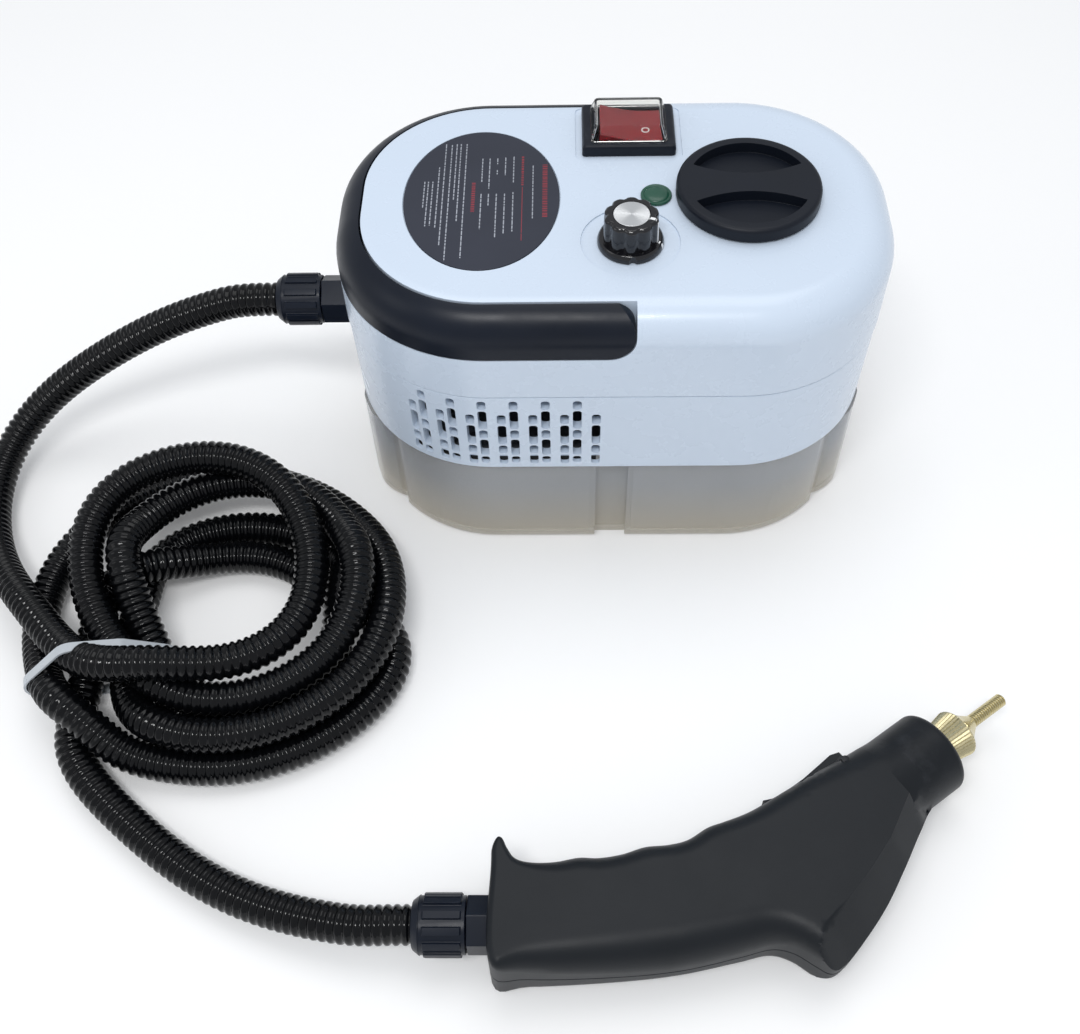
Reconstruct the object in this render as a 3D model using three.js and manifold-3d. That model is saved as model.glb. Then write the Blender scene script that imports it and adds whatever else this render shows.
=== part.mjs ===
// Portable steam cleaner: a tank with a two-part case, a corrugated steam hose and a steam gun on the floor.
// Millimetres, +Z up. The origin is the middle of the tank's bottom face.
// +X runs along the case and +Y to its back.
import * as THREE from 'three';
import { mergeVertices } from 'three/addons/utils/BufferGeometryUtils.js';
import Module from 'manifold-3d';

const wasm = await Module();
wasm.setup();

// ---------- driving dimensions ----------
const CASE_LENGTH = 212;
const CASE_DEPTH = 132;
const CASE_HEIGHT = 134;
const CORNER_RADIUS = 58;
const EDGE_RADIUS = 14;
const WALL = 2.6;
const GAP = 0.3;
const SEAM_HEIGHT = 94.5;
const LIP_HEIGHT = 51.5;
const FLOOR_HEIGHT = 56.5;
const DECK_UNDERSIDE = CASE_HEIGHT - WALL;

const HANDLE_WIDTH = 10;
const HANDLE_RADIUS = 9.4;
const HANDLE_GAP = 0.8;
const HANDLE_CLEARANCE = 0.5;
const HANDLE_PIVOT_X = -3;
const HANDLE_PIVOT_Z = CASE_HEIGHT - HANDLE_RADIUS;
const HANDLE_BACKING = 3;
const PIN_RADIUS = 2.45;
const PIN_PLAY = 0.25;
const PIN_START = 50;
const PIN_END = CASE_DEPTH / 2 - 3;

const FILLER_X = 50.5;
const FILLER_Y = 0;
const NECK_OUTER = 19;
const NECK_INNER = 16;
const CAP_RADIUS = 27.2;
const CAP_TOP = CASE_HEIGHT + 6.4;
const CAP_UNDERSIDE = CASE_HEIGHT + 0.6;

const KNOB_X = 5.5;
const KNOB_Y = -24.7;
const KNOB_SKIRT_RADIUS = 12.25;
const KNOB_BODY_RADIUS = 10.1;
const KNOB_LOBES = 10;
const KNOB_DISH_DEPTH = 0.6;
const KNOB_BOTTOM = CASE_HEIGHT - KNOB_DISH_DEPTH + 0.4;
const KNOB_HEIGHT = 13;
const SHAFT_RADIUS = 3;

const SWITCH_X = 6.6;
const SWITCH_Y = 37.8;
const SWITCH_LENGTH = 36.4;
const SWITCH_DEPTH = 27.6;
const SWITCH_TOP = CASE_HEIGHT + 4.2;
const ROCKER_TILT = THREE.MathUtils.degToRad(7);
const ROCKER_PIVOT_Z = CASE_HEIGHT - 3;

const LAMP_X = 16;
const LAMP_Y = 0;
const LAMP_RADIUS = 5.9;

const LABEL_X = -50;
const LABEL_HALF_LENGTH = 29.6;
const LABEL_HALF_DEPTH = 39.3;

const TANK_INSET = 3.3;
const TANK_STEP_X = 88;
const TANK_END_X = 103.4;
const TANK_END_Y = 42;
const TANK_END_RADIUS = 20;
const TANK_RIM = 53;
const TANK_WALL = 2.4;
const TANK_FOOT_RADIUS = 3;
const TANK_GROOVE_WIDTH = 13;
const TANK_GROOVE_DEPTH = 3.5;

const HOSE_RADIUS = 7;
const GLAND_Y = 4;
const GLAND_Z = 78.5;
const NUT_RADIUS = 10.8;
const NUT_LENGTH = 16;
const NUT_RIBS = 12;

const COIL_X = -158;
const COIL_Y = -110;
const COIL_OUTER = 80;
const COIL_INNER = 40;
const COIL_BOTTOM = 1.6;
const COIL_TOP = 38;
const TIE_ANGLE = THREE.MathUtils.degToRad(208);
const TIE_WIDTH = 2.8;
const TIE_THICKNESS = 1.1;

const GUN_Z = 16.2;
const GUN_HALF_THICKNESS = 16;
const GUN_WALL = 2.6;
const GRIP_END_X = -45;
const GRIP_Y = -237;
const BARREL_RADIUS = 15.8;
const BARREL_ANGLE = THREE.MathUtils.degToRad(35.7);
const BARREL_END = new THREE.Vector2(117.5, -171.5);
const BARREL_LENGTH = 42;
const COLLAR_LENGTH = 18;
const TRIGGER_START = new THREE.Vector2(50, -197.2);
const TRIGGER_ANGLE = THREE.MathUtils.degToRad(31.9);
const TRIGGER_PIVOT = new THREE.Vector2(35, -3);
const TRIGGER_HALF_WIDTH = 6.5;

const assembly = new THREE.Group();
assembly.name = 'steam_cleaner';

// ---------- solid helpers ----------
function toSolid(geometry) {
  const bare = geometry.index ? geometry.clone() : geometry;
  bare.deleteAttribute('normal');
  bare.deleteAttribute('uv');
  const merged = mergeVertices(bare, 1e-4);
  const mesh = new wasm.Mesh({
    numProp: 3,
    vertProperties: new Float32Array(merged.attributes.position.array),
    triVerts: new Uint32Array(merged.index.array),
  });
  return new wasm.Manifold(mesh);
}

function toGeometry(solid) {
  const mesh = solid.getMesh();
  const positions = new Float32Array(mesh.numVert * 3);
  for (let vertex = 0; vertex < mesh.numVert; vertex += 1) {
    for (let axis = 0; axis < 3; axis += 1) {
      positions[vertex * 3 + axis] = mesh.vertProperties[vertex * mesh.numProp + axis];
    }
  }
  const geometry = new THREE.BufferGeometry();
  geometry.setAttribute('position', new THREE.BufferAttribute(positions, 3));
  geometry.setIndex(Array.from(mesh.triVerts));
  geometry.computeVertexNormals();
  return geometry;
}

function union(solids) {
  return solids.reduce((sum, solid) => sum.add(solid));
}

function cut(solid, tools) {
  return tools.reduce((rest, tool) => rest.subtract(tool), solid);
}

function addNode(name, solid, material) {
  const mesh = new THREE.Mesh(toGeometry(solid), material);
  mesh.name = name;
  assembly.add(mesh);
}

function box(lowX, highX, lowY, highY, lowZ, highZ) {
  const geometry = new THREE.BoxGeometry(highX - lowX, highY - lowY, highZ - lowZ);
  geometry.translate((lowX + highX) / 2, (lowY + highY) / 2, (lowZ + highZ) / 2);
  return toSolid(geometry);
}

// A cylinder or cone standing on Z; low and high are its end heights.
function post(x, y, low, high, radius, sides = 24, topRadius = radius) {
  const geometry = new THREE.CylinderGeometry(topRadius, radius, high - low, sides);
  geometry.rotateX(Math.PI / 2);
  geometry.translate(x, y, (low + high) / 2);
  return toSolid(geometry);
}

// A cylinder or cone lying along X.
function barX(lowX, highX, y, z, radius, sides = 24, highRadius = radius) {
  const geometry = new THREE.CylinderGeometry(highRadius, radius, highX - lowX, sides);
  geometry.rotateZ(-Math.PI / 2);
  geometry.translate((lowX + highX) / 2, y, z);
  return toSolid(geometry);
}

// A cylinder lying along Y.
function barY(x, lowY, highY, z, radius, sides = 20) {
  const geometry = new THREE.CylinderGeometry(radius, radius, highY - lowY, sides);
  geometry.translate(x, (lowY + highY) / 2, z);
  return toSolid(geometry);
}

// A solid of revolution about a vertical axis, from a profile of [radius, height] points.
function turned(x, y, profile, sides = 32) {
  const points = profile.map(([radius, height]) => new THREE.Vector2(radius, height));
  const geometry = new THREE.LatheGeometry(points, sides);
  geometry.rotateX(Math.PI / 2);
  geometry.translate(x, y, 0);
  return toSolid(geometry);
}

// Closed outline of a rectangle with round corners, centred on the origin, counter-clockwise.
function roundedOutline(halfX, halfY, radius, steps = 7) {
  const corner = Math.min(radius, halfX - 0.1, halfY - 0.1);
  const points = [];
  [[1, 1], [-1, 1], [-1, -1], [1, -1]].forEach(([signX, signY], quarter) => {
    for (let step = 0; step <= steps; step += 1) {
      const angle = (Math.PI / 2) * (quarter + step / steps);
      const x = signX * (halfX - corner) + corner * Math.cos(angle);
      const y = signY * (halfY - corner) + corner * Math.sin(angle);
      points.push(new THREE.Vector2(x, y));
    }
  });
  return points;
}

// The case's plan outline, drawn in by an inset.
function caseOutline(inset) {
  return roundedOutline(CASE_LENGTH / 2 - inset, CASE_DEPTH / 2 - inset, CORNER_RADIUS - inset);
}

// A closed solid from outlines with equal point counts, stacked from low to high.
function stack(levels) {
  const count = levels[0].outline.length;
  const positions = [];
  levels.forEach(({ outline, z }) => outline.forEach((point) => positions.push(point.x, point.y, z)));
  const index = [];
  for (let level = 0; level < levels.length - 1; level += 1) {
    for (let step = 0; step < count; step += 1) {
      const here = level * count + step;
      const next = level * count + ((step + 1) % count);
      index.push(here, next, next + count, here, next + count, here + count);
    }
  }
  const last = (levels.length - 1) * count;
  THREE.ShapeUtils.triangulateShape(levels[0].outline, []).forEach(([a, b, c]) => index.push(c, b, a));
  THREE.ShapeUtils.triangulateShape(levels[levels.length - 1].outline, []).forEach(([a, b, c]) => {
    index.push(last + a, last + b, last + c);
  });
  const geometry = new THREE.BufferGeometry();
  geometry.setAttribute('position', new THREE.Float32BufferAttribute(positions, 3));
  geometry.setIndex(index);
  return toSolid(geometry);
}

function prism(outline, low, high) {
  return stack([{ outline, z: low }, { outline, z: high }]);
}

function movedOutline(outline, x, y) {
  return outline.map((point) => new THREE.Vector2(point.x + x, point.y + y));
}

// A round tube or rod following a smooth curve through the points.
function sweep(points, radius, steps, sides = 10) {
  const circle = new THREE.Shape();
  for (let side = 0; side < sides; side += 1) {
    const angle = (2 * Math.PI * side) / sides;
    const place = side === 0 ? 'moveTo' : 'lineTo';
    circle[place](radius * Math.cos(angle), radius * Math.sin(angle));
  }
  circle.closePath();
  const path = new THREE.CatmullRomCurve3(points.map(([x, y, z]) => new THREE.Vector3(x, y, z)));
  const settings = { steps, bevelEnabled: false, extrudePath: path, curveSegments: 1 };
  return toSolid(new THREE.ExtrudeGeometry(circle, settings));
}

function finish(color, roughness, metalness = 0) {
  return new THREE.MeshStandardMaterial({ color, roughness, metalness });
}

const whitePlastic = () => finish(0xd9e2ee, 0.28);
const blackPlastic = () => finish(0x16181c, 0.42);
const greyPlastic = () => finish(0x55585c, 0.5);
const clearPlastic = () => finish(0xb9b7ae, 0.2);
const blackRubber = () => finish(0x1b1b1b, 0.8);
const brass = () => finish(0xb9964f, 0.3, 0.9);
const steel = () => finish(0x9a9da0, 0.35, 0.9);
const aluminium = () => finish(0xb7babd, 0.3, 0.9);

// ---------- tank ----------
// Solid block with the tank's plan: a broad middle, narrower ends and a groove in the front and the back.
function tankBlock(inset, low, high, footRadius = 0) {
  const foot = footRadius > 0 ? [0, 0.5, 1] : [1];
  const footLevels = foot.map((part) => {
    const angle = (Math.PI / 2) * part;
    return { rise: footRadius * (1 - Math.cos(angle)), draw: footRadius * (1 - Math.sin(angle)) };
  });
  const rising = (outlineAt) => stack([
    ...footLevels.map(({ rise, draw }) => ({ outline: outlineAt(inset + draw), z: low + rise })),
    { outline: outlineAt(inset), z: high },
  ]);
  const reach = TANK_STEP_X - inset;
  const broad = rising((draw) => caseOutline(TANK_INSET + draw));
  const middle = broad.intersect(box(-reach, reach, -CASE_DEPTH, CASE_DEPTH, low - 1, high + 1));
  const ends = rising((draw) => roundedOutline(TANK_END_X - draw, TANK_END_Y - draw, TANK_END_RADIUS - draw));
  const half = TANK_GROOVE_WIDTH / 2 + inset;
  const bottom = CASE_DEPTH / 2 - TANK_INSET - TANK_GROOVE_DEPTH - inset;
  const front = box(-half, half, -CASE_DEPTH, -bottom, low - 1, high + 1);
  const back = box(-half, half, bottom, CASE_DEPTH, low - 1, high + 1);
  return cut(middle.add(ends), [front, back]);
}

// Only what fits inside the case's skirt.
function withinSkirt(solid, inset) {
  return solid.intersect(prism(caseOutline(TANK_INSET + inset), -1, SEAM_HEIGHT));
}

function buildTank() {
  const shoulder = LIP_HEIGHT - 1.4;
  const fit = prism(caseOutline(0.4), -1, SEAM_HEIGHT);
  const outside = tankBlock(0, 0, shoulder, TANK_FOOT_RADIUS).intersect(fit);
  const rim = withinSkirt(tankBlock(0, shoulder - 1, TANK_RIM), 0);
  const inside = withinSkirt(tankBlock(TANK_WALL, TANK_WALL, TANK_RIM + 1), TANK_WALL);
  addNode('tank', outside.add(rim).subtract(inside), clearPlastic());
}

function buildTankSeal() {
  const low = TANK_RIM + GAP;
  const high = FLOOR_HEIGHT - GAP;
  const outside = withinSkirt(tankBlock(0.2, low, high), 0.2);
  const inside = withinSkirt(tankBlock(TANK_WALL, low - 1, high + 1), TANK_WALL);
  addNode('tank_seal', outside.subtract(inside), blackRubber());
}

// ---------- case ----------
const SCREW_PLACES = [[82, 36], [-82, 36], [-82, -36], [82, -36]];
const VENT_PITCH = 12.1;
const VENT_FIRST_RUN = 6.9;
const VENT_WIDTH = 3.4;
const VENT_BRIDGE = 0.8;
const VENT_THROUGH = 6;
const VENT_POCKET = 2;
const OUTER_SLOTS = { top: 84.3, heights: [5.6, 11.4, 5, 5.8] };
const INNER_SLOTS = { top: 92.2, heights: [4.9, 10.6, 4.9, 9.8, 4.1] };
const BOILER_POSTS = [[-80, 14], [-80, -20], [-20, 14], [-20, -20]];
const BOILER_BOTTOM = 70;

// A point and outward angle on the case's front-left outline, a given run left of x = 0.
function frontPlace(run) {
  const flat = CASE_LENGTH / 2 - CORNER_RADIUS;
  if (run <= flat) {
    return { x: -run, y: -CASE_DEPTH / 2, turn: 0 };
  }
  const turn = (run - flat) / CORNER_RADIUS;
  const x = -flat - CORNER_RADIUS * Math.sin(turn);
  const y = -(CASE_DEPTH / 2 - CORNER_RADIUS) - CORNER_RADIUS * Math.cos(turn);
  return { x, y, turn };
}

// A slot cutter at a run along the front; depth is how far it reaches in from the outline.
function ventCutter(run, height, tall, depth) {
  const { x, y, turn } = frontPlace(run);
  const geometry = new THREE.BoxGeometry(VENT_WIDTH, 2 * depth, tall);
  geometry.rotateZ(-turn);
  geometry.translate(x, y, height);
  return toSolid(geometry);
}

// One column of slots from its top down; a slot beside the floor plate is only a pocket.
function ventColumn(run, { top, heights }) {
  let high = top;
  return heights.map((tall) => {
    const low = high - tall;
    const depth = low > FLOOR_HEIGHT + WALL ? VENT_THROUGH : VENT_POCKET;
    const cutter = ventCutter(run, (high + low) / 2, tall, depth);
    high = low - VENT_BRIDGE;
    return cutter;
  });
}

// Staggered columns of slots, short and tall in turn.
function ventCutters() {
  const cutters = [];
  for (let column = 0; column < 7; column += 1) {
    cutters.push(...ventColumn(VENT_FIRST_RUN + column * VENT_PITCH, OUTER_SLOTS));
  }
  for (let column = 0; column < 6; column += 1) {
    cutters.push(...ventColumn(VENT_FIRST_RUN + (column + 0.6) * VENT_PITCH, INNER_SLOTS));
  }
  return cutters;
}

const LOWER_TOP_INSET = 0.4;
const LOWER_LIP_INSET = 1.2;
const MAINS_X = -40;
const MAINS_Z = 76;
const GLAND_HOLE = 6.6;
const SUCTION_X = -70;
const SUCTION_Y = 30;

function buildLowerShell() {
  const top = SEAM_HEIGHT - GAP / 2;
  const floorTop = FLOOR_HEIGHT + WALL;
  const outside = stack([
    { outline: caseOutline(LOWER_LIP_INSET), z: LIP_HEIGHT },
    { outline: caseOutline(LOWER_TOP_INSET), z: top },
  ]);
  const room = prism(caseOutline(LOWER_LIP_INSET + WALL), floorTop, top + 1);
  const skirtRoom = prism(caseOutline(TANK_INSET - GAP), LIP_HEIGHT - 1, FLOOR_HEIGHT);
  const screwTower = ([x, y]) => post(x, y, floorTop - 1, top - 1, 4.2, 12);
  const boilerPost = ([x, y]) => post(x, y, floorTop - 1, BOILER_BOTTOM - GAP, 4, 10);
  const body = union([
    cut(outside, [room, skirtRoom]),
    ...SCREW_PLACES.map(screwTower),
    ...BOILER_POSTS.map(boilerPost),
  ]);
  const screwHole = ([x, y]) => post(x, y, FLOOR_HEIGHT - 1, top + 1, 1.9, 10);
  const holes = [
    post(FILLER_X, FILLER_Y, FLOOR_HEIGHT - 1, floorTop + 1, NECK_OUTER + 0.5, 32),
    post(SUCTION_X, SUCTION_Y, FLOOR_HEIGHT - 1, floorTop + 1, 4.2, 12),
    barX(-CASE_LENGTH / 2 - 2, -CASE_LENGTH / 2 + 8, GLAND_Y, GLAND_Z, GLAND_HOLE, 20),
    barY(MAINS_X, CASE_DEPTH / 2 - 8, CASE_DEPTH / 2 + 2, MAINS_Z, GLAND_HOLE, 20),
    ...SCREW_PLACES.map(screwHole),
    ...ventCutters(),
  ];
  addNode('lower_shell', cut(body, holes), whitePlastic());
}

// The case's full outside above the seam, with its rounded top edge.
function upperOutside() {
  const levels = [{ outline: caseOutline(0), z: SEAM_HEIGHT + GAP / 2 }];
  const steps = 5;
  for (let step = 0; step <= steps; step += 1) {
    const angle = ((Math.PI / 2) * step) / steps;
    const inset = EDGE_RADIUS * (1 - Math.cos(angle));
    levels.push({ outline: caseOutline(inset), z: CASE_HEIGHT - EDGE_RADIUS * (1 - Math.sin(angle)) });
  }
  return stack(levels);
}

function upperRoom() {
  const inner = EDGE_RADIUS - WALL;
  const levels = [{ outline: caseOutline(WALL), z: SEAM_HEIGHT - 1 }];
  [0, 0.5, 1].forEach((part) => {
    const angle = (Math.PI / 2) * part;
    const inset = WALL + inner * (1 - Math.cos(angle));
    levels.push({ outline: caseOutline(inset), z: DECK_UNDERSIDE - inner * (1 - Math.sin(angle)) });
  });
  return stack(levels);
}

// Side view of the handle's arms: a bar with a round end about the pivot, as a slab across the whole case.
function handleSlab(radius, sideways) {
  const bottom = HANDLE_PIVOT_Z - radius;
  const bar = box(-CASE_LENGTH, HANDLE_PIVOT_X, -sideways, sideways, bottom, bottom + 2 * radius);
  const end = barY(HANDLE_PIVOT_X, -sideways, sideways, HANDLE_PIVOT_Z, radius, 40);
  return bar.add(end);
}

// The handle's room in the case: squared above the pivot, so that the arm's end clears it when it stands up.
function handleRoom(radius, sideways) {
  const right = HANDLE_PIVOT_X + radius;
  const corner = box(HANDLE_PIVOT_X, right, -sideways, sideways, HANDLE_PIVOT_Z, CASE_HEIGHT + 10);
  return handleSlab(radius, sideways).add(corner);
}

function handleCore(inset) {
  return prism(caseOutline(inset), SEAM_HEIGHT, CASE_HEIGHT + 10);
}

function buildUpperShell() {
  const outside = upperOutside();
  const slabWidth = CASE_DEPTH;
  const recessDepth = HANDLE_WIDTH + HANDLE_GAP;
  const recess = handleRoom(HANDLE_RADIUS + HANDLE_CLEARANCE, slabWidth).subtract(handleCore(recessDepth));
  const backingSlab = handleRoom(HANDLE_RADIUS + HANDLE_BACKING, slabWidth);
  const backing = backingSlab.subtract(handleCore(recessDepth + HANDLE_BACKING)).intersect(outside);
  const tower = ([x, y]) => post(x, y, SEAM_HEIGHT + 1, DECK_UNDERSIDE + 1, 4.2, 12);
  const body = union([outside.subtract(upperRoom()), backing, ...SCREW_PLACES.map(tower)]);
  const above = CASE_HEIGHT + 1;
  const below = DECK_UNDERSIDE - 1;
  const border = 2.6;
  const borderOutline = roundedOutline(SWITCH_LENGTH / 2 + border, SWITCH_DEPTH / 2 + border, 3, 3);
  const switchBorder = movedOutline(borderOutline, SWITCH_X, SWITCH_Y);
  const switchHole = movedOutline(roundedOutline(15.4, 11.4, 1, 2), SWITCH_X, SWITCH_Y);
  const labelSteps = 40;
  const labelPocket = [];
  for (let step = 0; step < labelSteps; step += 1) {
    labelPocket.push(labelPoint(step / labelSteps, 0.4));
  }
  const pinHole = (low, high) => barY(HANDLE_PIVOT_X, low, high, HANDLE_PIVOT_Z, PIN_RADIUS + 0.25);
  const pinHoleStart = PIN_START - 1;
  const pinHoleEnd = CASE_DEPTH / 2 - HANDLE_WIDTH;
  const screwHole = ([x, y]) => post(x, y, SEAM_HEIGHT, SEAM_HEIGHT + 16, 1.9, 10);
  const holes = [
    recess,
    post(FILLER_X, FILLER_Y, below, above, NECK_OUTER + 0.5, 32),
    post(KNOB_X, KNOB_Y, CASE_HEIGHT - KNOB_DISH_DEPTH, above, 18.5, 40),
    post(KNOB_X, KNOB_Y, below, above, SHAFT_RADIUS + 0.8, 16),
    post(LAMP_X, LAMP_Y, below, above, 5.1, 20),
    prism(switchBorder, CASE_HEIGHT - 0.5, above),
    prism(switchHole, below, above),
    prism(labelPocket, CASE_HEIGHT - 0.6, above),
    pinHole(pinHoleStart, pinHoleEnd),
    pinHole(-pinHoleEnd, -pinHoleStart),
    ...SCREW_PLACES.map(screwHole),
  ];
  addNode('upper_shell', cut(body, holes), whitePlastic());
}

function buildCaseScrews() {
  SCREW_PLACES.forEach(([x, y], place) => {
    const head = post(x, y, FLOOR_HEIGHT - 2.6, FLOOR_HEIGHT - GAP, 3.2, 12);
    const shank = post(x, y, FLOOR_HEIGHT - 1, SEAM_HEIGHT + 15, 1.5, 10);
    addNode(`case_screw_${place + 1}`, head.add(shank), steel());
  });
}

// ---------- carry handle ----------
function buildHandle() {
  const band = handleSlab(HANDLE_RADIUS, CASE_DEPTH).subtract(handleCore(HANDLE_WIDTH));
  const armFace = CASE_DEPTH / 2 - HANDLE_WIDTH;
  const bore = (low, high) => barY(HANDLE_PIVOT_X, low, high, HANDLE_PIVOT_Z, PIN_RADIUS + PIN_PLAY);
  const bores = [bore(armFace - 2, PIN_END + 0.5), bore(-PIN_END - 0.5, 2 - armFace)];
  addNode('carry_handle', cut(upperOutside().intersect(band), bores), blackPlastic());
}

function buildHandlePins() {
  const pin = (low, high) => barY(HANDLE_PIVOT_X, low, high, HANDLE_PIVOT_Z, PIN_RADIUS);
  addNode('handle_pin_front', pin(-PIN_END, -PIN_START), steel());
  addNode('handle_pin_back', pin(PIN_START, PIN_END), steel());
}

// ---------- filler ----------
function buildFillerTube() {
  const bottom = FLOOR_HEIGHT - 0.5;
  const profile = [
    [NECK_INNER, bottom],
    [NECK_OUTER, bottom],
    [NECK_OUTER, DECK_UNDERSIDE - 2.5],
    [NECK_OUTER + 4, DECK_UNDERSIDE - 2.5],
    [NECK_OUTER + 4, DECK_UNDERSIDE - GAP],
    [NECK_OUTER, DECK_UNDERSIDE - GAP],
    [NECK_OUTER, CASE_HEIGHT + 0.2],
    [NECK_INNER, CASE_HEIGHT + 0.2],
    [NECK_INNER, bottom],
  ];
  addNode('filler_tube', turned(FILLER_X, FILLER_Y, profile), greyPlastic());
}

const PLUG_RADIUS = 15.2;
const PLUG_BOTTOM = CASE_HEIGHT - 15;
const GROOVE_RADIUS = 13.4;
const GROOVE_HEIGHT = CASE_HEIGHT - 8;

// One finger hollow of the cap: a bow towards the middle and the rim's arc outside.
function fingerHollow(side) {
  const rim = CAP_RADIUS - 4.4;
  const spread = THREE.MathUtils.degToRad(27);
  const steps = 12;
  const points = [];
  for (let step = 0; step <= steps; step += 1) {
    const angle = spread + ((Math.PI - 2 * spread) * step) / steps;
    points.push(new THREE.Vector2(rim * Math.cos(angle), rim * Math.sin(angle)));
  }
  const endX = rim * Math.cos(spread);
  const endY = rim * Math.sin(spread);
  const middleY = 5.2;
  for (let step = 1; step < 8; step += 1) {
    const part = step / 8;
    const bow = 1 - (2 * part - 1) ** 2;
    points.push(new THREE.Vector2(-endX + 2 * endX * part, endY - (endY - middleY) * bow));
  }
  const placed = points.map((point) => new THREE.Vector2(side * point.x, side * point.y));
  return prism(movedOutline(placed, FILLER_X, FILLER_Y), CAP_UNDERSIDE + 1.4, CAP_TOP + 1);
}

function buildFillerCap() {
  const profile = [
    [0, CAP_UNDERSIDE],
    [GROOVE_RADIUS - 3, CAP_UNDERSIDE],
    [GROOVE_RADIUS - 3, PLUG_BOTTOM],
    [PLUG_RADIUS, PLUG_BOTTOM],
    [PLUG_RADIUS, GROOVE_HEIGHT - 1.6],
    [GROOVE_RADIUS, GROOVE_HEIGHT - 1.6],
    [GROOVE_RADIUS, GROOVE_HEIGHT + 1.6],
    [PLUG_RADIUS, GROOVE_HEIGHT + 1.6],
    [PLUG_RADIUS, CAP_UNDERSIDE],
    [CAP_RADIUS, CAP_UNDERSIDE],
    [CAP_RADIUS, CAP_TOP - 1.6],
    [CAP_RADIUS - 1.6, CAP_TOP],
    [0, CAP_TOP],
  ];
  const cap = cut(turned(FILLER_X, FILLER_Y, profile, 40), [fingerHollow(1), fingerHollow(-1)]);
  addNode('filler_cap', cap, blackPlastic());
}

function buildCapSeal() {
  const inner = GROOVE_RADIUS + 0.3;
  const outer = NECK_INNER - 0.25;
  const half = 1.2;
  const profile = [
    [inner, GROOVE_HEIGHT - half],
    [outer - 0.5, GROOVE_HEIGHT - half],
    [outer, GROOVE_HEIGHT - half / 2],
    [outer, GROOVE_HEIGHT + half / 2],
    [outer - 0.5, GROOVE_HEIGHT + half],
    [inner, GROOVE_HEIGHT + half],
    [inner, GROOVE_HEIGHT - half],
  ];
  addNode('cap_seal', turned(FILLER_X, FILLER_Y, profile), blackRubber());
}

// ---------- knob and its potentiometer ----------
function knobOutline(radius) {
  const points = [];
  const steps = KNOB_LOBES * 4;
  for (let step = 0; step < steps; step += 1) {
    const angle = (2 * Math.PI * step) / steps;
    const wave = 0.5 + 0.5 * Math.cos(KNOB_LOBES * angle);
    const reach = radius - 0.9 * (1 - wave) ** 2;
    points.push(new THREE.Vector2(KNOB_X + reach * Math.cos(angle), KNOB_Y + reach * Math.sin(angle)));
  }
  return points;
}

const INSERT_RADIUS = 6.6;
const KNOB_TOP = KNOB_BOTTOM + KNOB_HEIGHT;

function buildKnob() {
  const skirtTop = KNOB_BOTTOM + 2.8;
  const skirt = post(KNOB_X, KNOB_Y, KNOB_BOTTOM, skirtTop, KNOB_SKIRT_RADIUS, 40, KNOB_SKIRT_RADIUS - 0.4);
  const body = stack([
    { outline: knobOutline(KNOB_BODY_RADIUS + 0.2), z: skirtTop - 1 },
    { outline: knobOutline(KNOB_BODY_RADIUS), z: KNOB_TOP - 1 },
    { outline: knobOutline(KNOB_BODY_RADIUS - 0.8), z: KNOB_TOP },
  ]);
  const pocket = post(KNOB_X, KNOB_Y, KNOB_TOP - 1, KNOB_TOP + 1, INSERT_RADIUS + GAP, 32);
  const bore = post(KNOB_X, KNOB_Y, KNOB_BOTTOM - 1, KNOB_BOTTOM + 9.5, SHAFT_RADIUS + 0.25, 16);
  addNode('knob', cut(skirt.add(body), [pocket, bore]), blackPlastic());
  const disc = post(KNOB_X, KNOB_Y, KNOB_TOP - 0.7, KNOB_TOP + 0.05, INSERT_RADIUS, 32);
  addNode('knob_insert', disc, aluminium());
}

function buildPotentiometer() {
  const bodyLow = DECK_UNDERSIDE - 14;
  const bodyHigh = DECK_UNDERSIDE - GAP;
  const shaft = post(KNOB_X, KNOB_Y, bodyLow + 3, KNOB_BOTTOM + 9.2, SHAFT_RADIUS, 16);
  addNode('potentiometer_shaft', shaft, aluminium());
  const can = post(KNOB_X, KNOB_Y, bodyLow, bodyHigh - 3, 8.4, 24);
  const bushing = post(KNOB_X, KNOB_Y, bodyHigh - 4, bodyHigh, 5, 16);
  const bore = post(KNOB_X, KNOB_Y, bodyLow + 2.5, bodyHigh + 1, SHAFT_RADIUS + 0.25, 16);
  addNode('potentiometer_body', can.add(bushing).subtract(bore), greyPlastic());
}

// ---------- indicator lamp ----------
function buildIndicator() {
  const rim = CASE_HEIGHT + GAP;
  const profile = [
    [0, CASE_HEIGHT - 6],
    [4.8, CASE_HEIGHT - 6],
    [4.8, rim],
    [LAMP_RADIUS, rim],
    [LAMP_RADIUS, rim + 0.6],
    [LAMP_RADIUS * 0.75, rim + 1.5],
    [LAMP_RADIUS * 0.4, rim + 2],
    [0, rim + 2.1],
  ];
  addNode('indicator_lens', turned(LAMP_X, LAMP_Y, profile, 24), finish(0x2f6e5c, 0.2));
  const lampBody = post(LAMP_X, LAMP_Y, CASE_HEIGHT - 24, CASE_HEIGHT - 6 - GAP, 4.8, 16);
  addNode('indicator_body', lampBody, greyPlastic());
}

// ---------- rocker switch ----------
function switchOutline(halfLength, halfDepth, radius, steps = 3) {
  return movedOutline(roundedOutline(halfLength, halfDepth, radius, steps), SWITCH_X, SWITCH_Y);
}

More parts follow.
